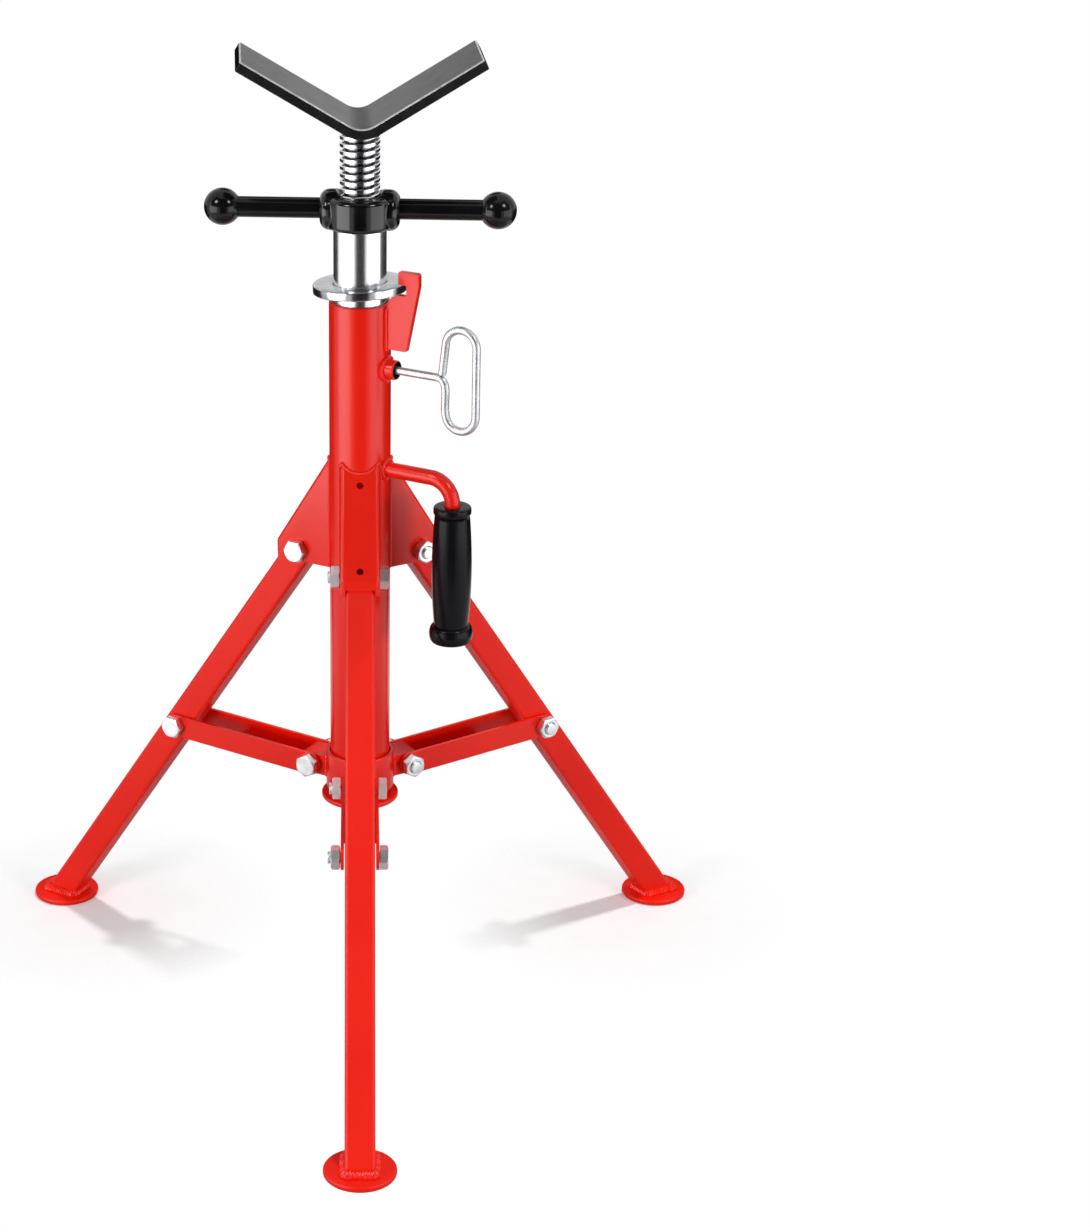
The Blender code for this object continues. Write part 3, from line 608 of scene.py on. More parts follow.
def finish(name, slot, tones, roughness, broad, fine, bump, metallic=0.0, specular=0.5, stretch=(1, 1, 1)):
    """Procedural finish: colour and gloss with a broad mottle, and a fine surface grain."""
    material = bpy.data.materials.new(name)
    material["slot"] = slot
    material.use_nodes = True
    tree = material.node_tree
    here = node(tree, "ShaderNodeTexCoord")["Object"]
    spot = node(tree, "ShaderNodeMapping", here, Scale=stretch)["Vector"]
    mottle = node(tree, "ShaderNodeTexNoise", spot, Scale=broad, Detail=4.0, Roughness=0.6)["Fac"]
    grain = node(tree, "ShaderNodeTexNoise", spot, Scale=fine, Detail=2.0, Roughness=0.5)["Fac"]
    gloss = node(tree, "ShaderNodeMapRange", mottle, **{"To Min": roughness[0], "To Max": roughness[1]})
    height = node(tree, "ShaderNodeBump", Strength=bump, Distance=GRAIN_DEPTH, Height=grain)
    feed(tree.nodes["Principled BSDF"], {
        "Base Color": ramped(tree, mottle, zip(MOTTLE, tones)),
        "Metallic": metallic,
        "Roughness": gloss["Result"],
        "Specular IOR Level": specular,
        "Normal": height["Normal"],
    })
    return material


def thread_finish(name, slot):
    """Plated crests, darker towards the root of the thread."""
    material = finish(name, slot, ((0.70, 0.70, 0.72), (0.84, 0.84, 0.86)), (0.12, 0.24), 60.0, 500.0, 0.05,
                      metallic=1.0)
    tree = material.node_tree
    shader = tree.nodes["Principled BSDF"]
    plated = shader.inputs["Base Color"].links[0].from_socket
    here = node(tree, "ShaderNodeTexCoord")["Object"]
    centred = node(tree, "ShaderNodeVectorMath", here, (0, MAST_Y, 0), operation="SUBTRACT")["Vector"]
    level = node(tree, "ShaderNodeVectorMath", centred, (1, 1, 0), operation="MULTIPLY")["Vector"]
    reach = node(tree, "ShaderNodeVectorMath", level, operation="LENGTH")["Value"]
    limits = {"From Min": SCREW_R - THREAD_DEPTH, "From Max": SCREW_R - THREAD_CLEAN * THREAD_DEPTH}
    depth = node(tree, "ShaderNodeMapRange", reach, **limits)["Result"]
    mix = node(tree, "ShaderNodeMix", depth, data_type="RGBA")[MIX_RESULT]
    feed(mix.node, {MIX_A: (*ROOT_TONE, 1), MIX_B: plated})
    feed(shader, {"Base Color": mix})
    return material


RED_TONES = ((0.79, 0.008, 0.001), (0.87, 0.012, 0.0015))
RED = finish("red_paint_look", "red_paint", RED_TONES, (0.20, 0.30), 7.0, 520.0, 0.03, specular=0.35)
LEG_RED = finish("leg_paint", "red_paint", RED_TONES, (0.34, 0.46), 7.0, 520.0, 0.05, specular=0.25)
CHROME = finish("mast_plating", "zinc", ((0.78, 0.78, 0.80), (0.88, 0.88, 0.89)), (0.16, 0.26),
                30.0, 260.0, 0.02, metallic=1.0, stretch=(1, 1, 0.06))
PLATED = finish("rod_plating", "zinc", ((0.48, 0.48, 0.50), (0.62, 0.62, 0.64)), (0.36, 0.48),
                90.0, 600.0, 0.06, metallic=1.0)
BOLT = finish("bolt_plating", "zinc", ((0.70, 0.71, 0.72), (0.90, 0.90, 0.91)), (0.28, 0.44),
              140.0, 700.0, 0.08, metallic=1.0)
LOOSE = finish("ring_plating", "zinc", ((0.32, 0.32, 0.34), (0.48, 0.48, 0.50)), (0.14, 0.24),
               120.0, 700.0, 0.05, metallic=1.0)
THREAD = thread_finish("thread_plating", "zinc")
CAST = finish("cast_black", "black_gloss", ((0.002, 0.002, 0.002), (0.006, 0.006, 0.006)), (0.08, 0.20),
              60.0, 420.0, 0.06, specular=0.42)
BALL = finish("ball_black", "black_gloss", ((0.003, 0.003, 0.004), (0.006, 0.006, 0.007)), (0.10, 0.20),
              40.0, 300.0, 0.03, specular=0.25)
PLATE = finish("plate_black", "black_oxide", ((0.004, 0.004, 0.004), (0.009, 0.009, 0.009)), (0.30, 0.42),
               70.0, 900.0, 0.12, specular=0.36)
# Lighter metal for the V's top edges: partly edge wear, partly a painted highlight.
WEAR_AND_SHEEN = finish("worn_edge", "black_oxide", ((0.30, 0.30, 0.31), (0.55, 0.55, 0.56)), (0.28, 0.45),
              120.0, 900.0, 0.05, metallic=0.4)
# Black without reflections: painted shade on the V's tips and on the bosses' faces and mouths.
SHADE_BLACK = finish("dull_black", "black_oxide", ((0.003, 0.003, 0.003), (0.008, 0.008, 0.008)), (0.6, 0.8),
              90.0, 900.0, 0.12, specular=0.0)
RUBBER = finish("grip_rubber", "rubber", ((0.002, 0.002, 0.003), (0.005, 0.005, 0.007)), (0.20, 0.30),
                50.0, 900.0, 0.06, specular=0.13)


def weighted(mesh, chosen):
    """Mark the edges that a test chooses for a bevel of their own."""
    weights = mesh.attributes.new("bevel_weight_edge", "FLOAT", "EDGE")
    for edge, weight in zip(mesh.edges, weights.data):
        weight.value = float(chosen(*(mesh.vertices[index].co for index in edge.vertices)))
    return mesh


def break_edges(shown, width, limit, material):
    """Bevel the marked or the sharp edges of a piece."""
    modify(shown, "BEVEL", width=width, segments=BEVEL_STEPS, limit_method=limit, angle_limit=BEVEL_ANGLE,
           harden_normals=True, material=material)


def piece(name, mesh, matrix, look, body, edge=0.0, worn=None):
    """One visible piece that moves with a body. Its marked edges may show a lighter finish, partly wear and
    partly a painted highlight.
    """
    moved(mesh, matrix)
    mesh.name = name
    mesh.materials.clear()
    mesh.materials.append(look)
    shown = linked(name, mesh)
    if worn:
        mesh.materials.append(worn)
        break_edges(shown, edge, "WEIGHT", 1)
    if edge:
        break_edges(shown, edge, "ANGLE", -1)
    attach(shown, body)
    return shown


def part(name, *details, **more):
    """Piece that stands for the frame's node of this name."""
    shown = piece(f"{name}_shape", *details, **more)
    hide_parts(name)
    return shown


def repaint(shown, look, chosen):
    """Give the faces that a test chooses another finish."""
    mesh = shown.data
    mesh.materials.append(look)
    for face in mesh.polygons:
        if chosen(face):
            face.material_index = len(mesh.materials) - 1


def build_tubes():
    """Tubes and rings round the mast's axis, by bore, edge, finish and body."""
    tubes = {
        "outer_tube": (TUBE_R - TUBE_WALL, TUBE_EDGE, RED, "frame"),
        "stop_disc": (DRAIN_R, DISC_EDGE, RED, "frame"),
        "inner_tube": (MAST_R - MAST_WALL, MAST_EDGE, CHROME, "mast"),
        "collar": (COLLAR_BORE, COLLAR_EDGE, RED, "sliding_collar"),
    }
    for name, (bore, edge, look, body) in tubes.items():
        low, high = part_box(name)
        part(name, ring(bore, (high.x - low.x) / 2, low.z, high.z, edge), sector(0), look, body)


def hex_reach(angle):
    """Radius of a hexagon of the bolts' size, by angle."""
    return HEX_FLATS / 2 / cos((angle + pi / 6) % (pi / 3) - pi / 6)


def corner_drop(angle):
    """How far the turned chamfer has lowered a hexagon's corner."""
    return (hex_reach(angle) - HEX_CROWN) * tan(pi / 6)


def bolt_end(start, end):
    """Threaded end of a bolt along Z."""
    profile = [(0, start), (BOLT_R - BOLT_THREAD, start)]
    count = max(1, round((end - start) / BOLT_PITCH))
    pitch = (end - start) / count
    for index in range(count):
        for share, depth in BOLT_FORM:
            profile.append((BOLT_R - BOLT_THREAD * depth, start + (index + share) * pitch))
    profile += [(BOLT_R - 2 * BOLT_THREAD, end), (0, end)]
    return lathe(profile, HEX_SEGMENTS)


def bolt_head():
    """Hex head resting on z = 0."""
    profile = [(0, HEAD_HEIGHT), (HEX_CROWN, HEAD_HEIGHT),
               (hex_reach, lambda angle: HEAD_HEIGHT - corner_drop(angle)), (hex_reach, 0), (0, 0)]
    return lathe(profile, HEX_SEGMENTS)


def hex_nut():
    """Hex nut resting on z = 0."""
    mouth = BOLT_HOLE_R + BOLT_THREAD
    profile = [(BOLT_HOLE_R, BOLT_THREAD), (mouth, 0), (HEX_CROWN, 0), (hex_reach, corner_drop),
               (hex_reach, lambda angle: NUT_THICKNESS - corner_drop(angle)), (HEX_CROWN, NUT_THICKNESS),
               (mouth, NUT_THICKNESS), (BOLT_HOLE_R, NUT_THICKNESS - BOLT_THREAD)]
    return lathe(profile, HEX_SEGMENTS, True)


def bolt_pair(label, side, body, matrix, outside, bolt, nut):
    """Bolt head on the counter-clockwise side of a joint, and the nut on the other."""
    face = outside / 2 + GAP
    part(f"{label}_bolt_{side}", bolt, matrix @ place(0, face, 0) @ turn(-pi / 2, "X"), BOLT, body)
    part(f"{label}_nut_{side}", nut, matrix @ place(0, -face, 0) @ turn(pi / 2, "X"), BOLT, body)


def through_bolt(label, side, body, matrix, outside, spin):
    """Bolt that goes right through, with its end out of the nut."""
    through = outside + 2 * GAP
    shank = moved(bolt_end(-through, NUT_THICKNESS + BOLT_TIP), turn(pi, "X") @ place(0, 0, through))
    bolt = merged(moved(bolt_head(), turn(spin, "Z")), shank)
    bolt_pair(label, side, body, matrix, outside, bolt, moved(hex_nut(), turn(2 * spin, "Z")))


def leg_mesh():
    """Square tube from the pivot down to its foot, cut level at the foot. Origin at the pivot."""
    down = Vector((sin(LEG_ANGLE), 0, -cos(LEG_ANGLE)))
    outward = Vector((cos(LEG_ANGLE), 0, sin(LEG_ANGLE)))
    across = Vector((0, 1, 0))
    sole = FOOT_THICKNESS - PIVOT_Z
    bm = bmesh.new()
    ends = []
    for inset in (0, LEG_WALL):
        half = LEG_SIZE / 2 - inset
        upper = []
        lower = []
        for u, v in rounded_box(-half, half, -half, half, LEG_CORNER - inset, CORNER_STEPS):
            side = across * u + outward * v
            upper.append(bm.verts.new(side - down * LEG_TAIL))
            lower.append(bm.verts.new(side + down * (sole - side.z) / down.z))
        ends.append((upper, lower))
    outside, inside = ends
    for pair in (outside, inside, *zip(outside, inside)):
        skin(bm, pair)
    holes = [pin(BOLT_HOLE_R, LEG_SIZE + SLACK, across, down * along) for along in (0, BRACE_ON_LEG)]
    return cut(to_mesh(bm), *holes)


def foot_mesh():
    corners = [(0, 0, 0), (FOOT_RADIUS, 0, FOOT_EDGE), (FOOT_RADIUS, FOOT_THICKNESS, FOOT_EDGE),
               (0, FOOT_THICKNESS, 0)]
    return lathe(rounded(corners))


def foot_weld():
    """Bead round the leg where it stands on its foot plate. Origin at the pivot."""
    half = LEG_SIZE / 2
    reach = half / cos(LEG_ANGLE)
    lift = WELD_ASIDE * FOOT_WELD
    centre = FOOT_R - PIVOT_R
    outline = rounded_box(centre - reach, centre + reach, -half, half, LEG_CORNER)
    level = FOOT_THICKNESS - PIVOT_Z + lift
    path = [(x - lift * tan(LEG_ANGLE), y, level) for x, y in outline]
    return bead(path, FOOT_WELD, Vector((0, 0, 1)), True)


def bracket_mesh():
    """Folded channel welded to the tube: two side plates and a sloping web with a lip."""
    slant = sqrt(1 + WEB_LEAN * WEB_LEAN)
    inset = BRACKET_WALL * slant
    root = TUBE_R / 2
    outline = rounded([(root, FLANGE_Z, 0), (BRACKET_R, FLANGE_Z, FLANGE_CORNER),
                       (BRACKET_R, WEB_CORNER_Z, 2 * FLANGE_CORNER),
                       (root, WEB_Z + (TUBE_R - root) / WEB_LEAN, 0)])
    inside_r = BRACKET_R - BRACKET_WALL
    inside_z = WEB_CORNER_Z - (inset - BRACKET_WALL) / WEB_LEAN
    beyond = BRACKET_R + SLACK
    below = FLANGE_Z - SLACK
    hollow = [(0, below), (beyond, below), (beyond, LIP_Z), (inside_r, LIP_Z), (inside_r, inside_z),
              (0, WEB_Z + (TUBE_R - inset) / WEB_LEAN)]

    def on_web(one, two):
        same_side = abs(one.y - two.y) < NEAR
        at_root = max(one.x, two.x) < root + NEAR
        at_floor = min(one.z, two.z) < FLANGE_Z + NEAR
        return same_side and not at_root and not at_floor

    shell = folded(prism(outline, BRACKET_OUTSIDE), BRACKET_FOLD, on_web)
    tools = [prism(hollow, BRACKET_INSIDE), cylinder(TUBE_R, 0, 2 * WEB_Z),
             pin(BOLT_HOLE_R, BRACKET_OUTSIDE + SLACK, (0, 1, 0), (PIVOT_R, 0, PIVOT_Z))]
    for along in WEB_HOLES:
        spot = (BRACKET_R - along * WEB_LEAN / slant, 0, WEB_CORNER_Z + along / slant)
        tools.append(pin(WEB_HOLE_R, 4 * BRACKET_WALL, (1, 0, WEB_LEAN), spot))
    return cut(shell, *tools)


def bracket_weld():
    """Bead along the bracket's outline on the tube: up one side, round the web and down the other."""
    def spot(y, z):
        return sqrt(TUBE_R * TUBE_R - y * y) + WELD_PROUD * TUBE_WELD, y, z

    def web_height(y):
        return WEB_Z + (TUBE_R - spot(y, 0)[0]) / WEB_LEAN + WELD_ASIDE * TUBE_WELD

    half = BRACKET_OUTSIDE / 2 + WELD_ASIDE * TUBE_WELD
    fold = half - BRACKET_WELD_IN
    shoulder = web_height(half) - BRACKET_WELD_DROP
    path = [spot(-half, FLANGE_Z), spot(-half, shoulder)]
    for step in range(ROUND_STEPS + 1):
        y = fold * (2 * step / ROUND_STEPS - 1)
        path.append(spot(y, web_height(y)))
    path += [spot(half, shoulder), spot(half, FLANGE_Z)]
    return bead(path, TUBE_WELD, from_mast)


def build_leg(side, azimuth):
    turned = sector(azimuth)
    pivot = turned @ place(PIVOT_R, 0, PIVOT_Z)
    leg = f"{side}_leg"
    part(f"leg_{side}", leg_mesh(), pivot, LEG_RED, leg, edge=EDGE)
    part(f"foot_{side}", foot_mesh(), turned @ place(FOOT_R, 0, 0), LEG_RED, leg)
    piece(f"foot_weld_{side}", foot_weld(), pivot, RED, leg)
    part(f"leg_bracket_{side}", bracket_mesh(), turned, RED, "frame", edge=EDGE)
    piece(f"bracket_weld_{side}", bracket_weld(), turned, RED, "frame")
    through_bolt("leg", side, "frame", pivot, BRACKET_OUTSIDE, azimuth)


def brace_mesh():
    """Channel open at the top, from the collar bolt at the origin to the leg bolt along X."""
    half = BRACE_HEIGHT / 2
    outline = (arc((BRACE_LENGTH, 0), half, -pi / 2, pi / 2, ROUND_STEPS)
               + arc((0, 0), half, pi / 2, 3 * pi / 2, ROUND_STEPS))
    floor_z = BRACE_WALL - half
    start = BRACE_CUT_COLLAR
    end = BRACE_LENGTH - BRACE_CUT_LEG
    beyond = half + SLACK
    right = BRACE_LENGTH + beyond
    hollow = [(-beyond, -beyond), (start, -beyond), (start, floor_z), (end, floor_z), (end, -beyond),
              (right, -beyond), (right, beyond), (-beyond, beyond)]

    def along_floor(one, two):
        level = abs(one.y - two.y) < NEAR and max(one.z, two.z) < NEAR - half
        return level and abs(one.x - two.x) > half

    shell = folded(prism(outline, BRACE_OUTSIDE), BRACE_FOLD, along_floor)
    holes = [pin(BOLT_HOLE_R, BRACE_OUTSIDE + SLACK, (0, 1, 0), (x, 0, 0)) for x in (0, BRACE_LENGTH)]
    return cut(shell, prism(hollow, BRACE_INSIDE), *holes)


def lug_mesh():
    """Block on the collar that a brace straddles. Origin on the mast, at the bolt's height."""
    nose = LUG_R + LUG_NOSE
    half = LUG_HEIGHT / 2
    root = TUBE_R + 2 * EDGE
    outline = rounded([(root, -half, 0), (nose, -half, LUG_EDGE), (nose, half, LUG_EDGE), (root, half, 0)])
    hole = pin(BOLT_HOLE_R, LUG_WIDTH + SLACK, (0, 1, 0), (LUG_R, 0, 0))
    return cut(prism(outline, LUG_WIDTH), hole, cylinder(COLLAR_BORE + EDGE, -LUG_HEIGHT, LUG_HEIGHT))


def lug_weld():
    """Beads up both sides of a lug and along its top. Origin as the lug's."""
    y = LUG_WIDTH / 2 + WELD_PROUD * TUBE_WELD
    x = sqrt(COLLAR_R * COLLAR_R - y * y) + WELD_PROUD * TUBE_WELD
    half = LUG_HEIGHT / 2
    path = [(x, -y, -half), (x, -y, half), (COLLAR_R, 0, half), (x, y, half), (x, y, -half)]
    return bead(path, TUBE_WELD, from_mast)


def build_brace(side, azimuth):
    turned = sector(azimuth)
    level = turned @ place(0, 0, LUG_Z)
    part(f"collar_lug_{side}", lug_mesh(), level, RED, "sliding_collar", edge=EDGE)
    piece(f"lug_weld_{side}", lug_weld(), level, RED, "sliding_collar")
    pivot = turned @ place(LUG_R, 0, LUG_Z) @ turn(-BRACE_PITCH, "Y")
    through_bolt("collar", side, "sliding_collar", pivot, BRACE_OUTSIDE, 2 * azimuth)
    body = f"{side}_brace"
    part(f"brace_{side}", brace_mesh(), pivot, RED, body, edge=EDGE)
    head = merged(moved(bolt_head(), turn(azimuth, "Z")), moved(bolt_end(0, BRACE_WALL), turn(pi, "X")))
    nut = merged(moved(hex_nut(), turn(3 * azimuth, "Z")), bolt_end(-BRACE_WALL, NUT_THICKNESS + BOLT_TIP))
    bolt_pair("brace", side, body, pivot @ place(BRACE_LENGTH, 0, 0), BRACE_OUTSIDE, head, nut)


def crossing(points, x):
    """Height and slope of a run of (x, z) points where it passes x."""
    for (x0, z0), (x1, z1) in zip(points, points[1:]):
        if x0 <= x <= x1:
            break
    slope = (z1 - z0) / (x1 - x0)
    return z0 + slope * (x - x0), slope


def looped_screw(tip, centre, size):
    """Clamping screw bent from rod: a shank along X, then an upright loop back onto the shank."""
    height, width = size
    radius = (width - CLAMP_ROD) / 2
    lift = (height - CLAMP_ROD) / 2 - radius
    entry = pi + LOOP_ENTRY
    landing = Vector((centre + radius * cos(entry), 0, -lift + radius * sin(entry)))
    heading = Vector((-sin(entry), 0, cos(entry)))
    start = Vector((centre - radius - LOOP_NECK, 0, 0))
    pull = (landing - start).length * LOOP_PULL
    leaving = start + Vector((pull, 0, 0))
    bend = interpolate_bezier(start, leaving, landing - heading * pull, landing, ROUND_STEPS)
    run = [(point.x, point.z) for point in bend]
    end_x = centre - radius - LOOP_LEAN
    shank_z, slope = crossing(run, end_x)
    end_z = shank_z + CLAMP_ROD / 2 * hypot(1, slope)
    steps = ceil(radius * pi / ARC_STEP)
    points = [(tip, 0), *run[:-1], *arc((centre, -lift), radius, entry, 2 * pi, steps)]
    points += [*arc((centre, lift), radius, 0, pi, steps), (end_x, end_z)]
    return rod(points, CLAMP_ROD)


def boss_mesh(surface):
    """Round boss along X with a counterbored mouth, let into the tube or collar that it is welded to."""
    root = surface - CLAMP_BOSS_ROOT
    face = surface + GAP + CLAMP_BOSS_LENGTH
    seat = face - CLAMP_MOUTH_DEPTH
    corners = [(CLAMP_HOLE_R, root, 0), (CLAMP_BOSS_R, root, 0), (CLAMP_BOSS_R, face, 2 * EDGE),
               (CLAMP_MOUTH_R, face, EDGE), (CLAMP_MOUTH_R, seat, 0), (CLAMP_HOLE_R, seat, 0)]
    return moved(lathe(rounded(corners), closed=True), turn(pi / 2, "Y"))


def build_boss(name, surface, axis, body):
    """Welded boss whose face and mouth are painted black without reflections, as painted shade."""
    def in_painted_shade(face):
        spot = axis.inverted() @ face.center
        return hypot(spot.y, spot.z) < CLAMP_BOSS_R - 2 * EDGE

    # Painted shade: the face and the mouth get the black without reflections.
    repaint(part(name, boss_mesh(surface), axis, RED, body), SHADE_BLACK, in_painted_shade)
    piece(f"{name}_weld", root_weld(CLAMP_BOSS_R, surface), axis, RED, body)


def keeper_mesh():
    """Hooked plate that holds the edge of the safety ring, in the sector's upright plane."""
    notch = RING_R + KEEPER_ROOT
    back = notch + KEEPER_BACK
    hook = RING_R - KEEPER_HOOK
    floor_z = RING_PIVOT_Z - RING_THICKNESS / 2 - NOTCH_FIT
    roof_z = RING_PIVOT_Z + RING_THICKNESS / 2 + NOTCH_FIT
    top = roof_z + KEEPER_CREST
    edge = 2 * EDGE
    corners = [(TUBE_R, KEEPER_BOTTOM, 0), (TUBE_R + KEEPER_FOOT, KEEPER_BOTTOM, 2 * edge),
               (back, roof_z, 4 * edge), (back, top, 2 * edge), (hook, top, 2 * edge), (hook, roof_z, edge),
               (notch, roof_z, edge), (notch, floor_z, edge), (RING_R - KEEPER_BITE, floor_z, edge),
               (TUBE_R, TUBE_TOP, 0)]
    return prism(rounded(corners), KEEPER_PLATE)


def keeper_weld():
    """Bead down one side of the keeper, under it and up the other side."""
    x = TUBE_R + WELD_PROUD * TUBE_WELD
    y = KEEPER_PLATE / 2 + WELD_ASIDE * TUBE_WELD
    top = TUBE_TOP - TUBE_WELD
    under = KEEPER_BOTTOM - WELD_ASIDE * TUBE_WELD
    path = [(x, -y, top), (x, -y, KEEPER_BOTTOM), (x, 0, under), (x, y, KEEPER_BOTTOM), (x, y, top)]
    return bead(path, TUBE_WELD, Vector((1, 0, 0)))


def grip_mesh():
    """Moulded sleeve with a flange, a swelling body and a bulb. Origin at the handle's level."""
    top = -GRIP_DROP
    bottom = top - GRIP_LENGTH
    bore = HANDLE_ROD / 2 + GAP
    flange_end = top - GRIP_FLANGE
    bulb_top = bottom + GRIP_BULB
    profile = rounded([(bore, bottom + GRIP_FLOOR, 0), (bore, top, EDGE), (GRIP_FLANGE_R, top, GRIP_EDGE),
                       (GRIP_FLANGE_R, flange_end, GRIP_EDGE), (GRIP_TOP_R - GRIP_EDGE, flange_end, 0)])
    body_top = flange_end - GRIP_EDGE
    swell = (body_top - bulb_top) / 3
    body = interpolate_bezier((GRIP_TOP_R, 0, body_top), (GRIP_SWELL_R, 0, body_top - swell),
                              (GRIP_SWELL_R, 0, bulb_top + swell), (GRIP_WAIST_R, 0, bulb_top), ROUND_STEPS)
    profile += [(point.x, point.z) for point in body]
    for out, up in arc((0, 0), 1, pi / 2, -pi / 3, ROUND_STEPS)[1:]:
        radius = GRIP_WAIST_R + (GRIP_BULB_R - GRIP_WAIST_R) * out
        profile.append((radius, bulb_top - GRIP_BULB / 2 * (1 - up)))
    profile += [(GRIP_BASE_R, bottom), (0, bottom)]
    return lathe([(0, bottom + GRIP_FLOOR), *profile])


def handle_mesh():
    """Bent rod of the carry handle, from the tube out and down into the grip."""
    centre = (HANDLE_REACH - HANDLE_BEND, -HANDLE_BEND)
    end = -GRIP_DROP - GRIP_LENGTH + GRIP_FLOOR + GAP
    points = [(TUBE_R - TUBE_WALL / 2, 0), (centre[0], 0)]
    points += arc(centre, HANDLE_BEND, pi / 2, 0, ROUND_STEPS)
    points.append((HANDLE_REACH, end))
    return rod(points, HANDLE_ROD)


def build_handle_side():
    """Keeper plate, safety ring, mast clamp and carry handle, one above the other."""
    turned = sector(HANDLE_SIDE)
    part("ring_keeper", keeper_mesh(), turned, RED, "frame", edge=EDGE).visible_glossy = False
    piece("keeper_weld", keeper_weld(), turned, RED, "frame")
    half = RING_THICKNESS / 2
    tilt = turned @ place(RING_R, 0, RING_PIVOT_Z) @ turn(-RING_TILT, "Y") @ place(-RING_R, 0, 0)
    part("safety_ring", ring(RING_BORE, RING_R, -half, half, RING_EDGE), tilt, LOOSE, "ring")
    axis = turned @ place(0, 0, CLAMP_Z)
    build_boss("clamp_boss", TUBE_R, axis, "frame")
    screw = looped_screw(MAST_R + GAP, TUBE_R + CLAMP_REACH, CLAMP_LOOP)
    part("clamp_screw", screw, axis, PLATED, "mast_clamp")
    level = turned @ place(0, 0, WEB_Z)
    part("carry_handle", handle_mesh(), level, RED, "frame")
    piece("handle_weld", root_weld(HANDLE_ROD / 2, TUBE_R), level, RED, "frame")
    part("handle_grip", grip_mesh(), level @ place(HANDLE_REACH, 0, 0), RUBBER, "frame")


def build_collar_clamp():
    axis = sector(COLLAR_CLAMP_SIDE) @ place(0, 0, COLLAR_CLAMP_Z)
    build_boss("collar_boss", COLLAR_R, axis, "sliding_collar")
    screw = looped_screw(TUBE_R + GAP, COLLAR_R + COLLAR_CLAMP_REACH, COLLAR_LOOP)
    part("collar_screw", screw, axis, PLATED, "collar_clamp")


def nut_mesh():
    """Cast jack nut: a rounded hub with a skirt over the mast and two bosses. Origin at the mast's end."""
    cap = NUT_HEIGHT - NUT_SKIRT
    corners = [(NUT_BORE, -NUT_SKIRT, 0), (NUT_R, -NUT_SKIRT, NUT_EDGE), (NUT_R, cap, NUT_EDGE),
               (NUT_BORE, cap, 2 * EDGE)]
    hub = lathe(rounded(corners, CORNER_STEPS), closed=True)
    middle = NUT_HEIGHT / 2 - BOSS_DROP
    inside = NUT_BORE / 2
    mouth = BAR_R - EDGE
    seat = BAR_START - GAP
    outline = rounded([(BOSS_R, inside, 0), (BOSS_R, BOSS_FACE, BOSS_EDGE), (mouth, BOSS_FACE, EDGE),
                       (mouth, seat, 0)])
    for sign in (-1, 1):
        boss = lathe([(0, inside), *outline, (0, seat)])
        moved(boss, place(0, 0, middle) @ turn(sign * pi / 2, "Y"))
        hub = combine(hub, [boss], "UNION")
    lead_r, lead_z = NUT_BORE + NUT_LEAD_R, cap + NUT_LEAD_Z
    bore = lathe([(0, -NUT_HEIGHT), (NUT_BORE, -NUT_HEIGHT), (NUT_BORE, cap), (lead_r, lead_z), (0, lead_z)])
    hub = cut(hub, bore, cylinder(MAST_R + 2 * EDGE, GAP - 2 * BOSS_R, GAP))
    remesh = {"mode": "VOXEL", "voxel_size": NUT_VOXEL, "use_smooth_shade": True}
    return baked(hub, ("REMESH", remesh), ("SMOOTH", NUT_SMOOTHING))


def ball_mesh():
    """Ball along Z at the origin, with a short neck towards its bar."""
    start = atan2(-BALL_NECK, BALL_NECK_R)
    ball = arc((0, 0), BALL_R, start, pi / 2, 2 * ROUND_STEPS)[:-1]
    end = -BALL_NECK - EDGE
    return lathe([(0, end), (BALL_NECK_R - EDGE, end), *ball, (0, BALL_R)])


def thread_mesh(bottom, top):
    """Right-handed trapezoidal thread with its crest edges broken."""
    root = SCREW_R - THREAD_DEPTH
    flank = THREAD_DEPTH * tan(THREAD_FLANK) / SCREW_PITCH
    land = THREAD_LAND / SCREW_PITCH
    crest = THREAD_CREST * flank
    profile = [(0, 0), (THREAD_BREAK * flank, THREAD_BREAK), (flank + crest, 1), (land + flank - crest, 1),
               (land + (2 - THREAD_BREAK) * flank, THREAD_BREAK), (land + 2 * flank, 0)]
    count = THREAD_SEGMENTS
    last = int((top - bottom) / SCREW_PITCH - 1) * count
    bm = bmesh.new()
    columns = []
    for index in range(last + 1):
        angle = 2 * pi * index / count
        column = []
        for share, height in profile:
            radius = root + THREAD_DEPTH * height
            z = top - SCREW_PITCH * ((last - index) / count + 1 - share)
            column.append(bm.verts.new((radius * cos(angle), radius * sin(angle), z)))
        columns.append(column)
    for index in range(last):
        here, there = columns[index], columns[index + 1]
        for row in range(len(profile) - 1):
            bm.faces.new((here[row], there[row], there[row + 1], here[row + 1]))
        if index + count < last:
            above, beyond = columns[index + count], columns[index + count + 1]
            bm.faces.new((here[-1], there[-1], beyond[0], above[0]))
    return to_mesh(bm)


def v_line(below):
    """Line of the V from tip to tip, a distance below its top. Origin at its lowest underside."""
    tip_x = V_ARM * cos(V_SLOPE) + below * sin(V_SLOPE)
    tip_z = V_APEX + V_ARM * sin(V_SLOPE) - below * cos(V_SLOPE)
    bend = arc((0, V_OUTER), V_BEND + below, -pi / 2 - V_SLOPE, -pi / 2 + V_SLOPE, ROUND_STEPS)
    return [(-tip_x, tip_z), *bend, (tip_x, tip_z)]


def round_top(one, two):
    """Edges round the upper face of the V: along its sides and across its tips."""
    middle = V_APEX - V_THICKNESS / 2
    on_top = all(spot.z > middle + abs(spot.x) * tan(V_SLOPE) for spot in (one, two))
    return on_top and (abs(one.y - two.y) < NEAR or min(abs(one.x), abs(two.x)) > V_ARM / 2)


def v_end(face):
    """Faces across the tips of the V, which look up but less than its arms do. They get painted shade."""
    return NEAR < face.normal.z < cos(V_SLOPE) - SLACK


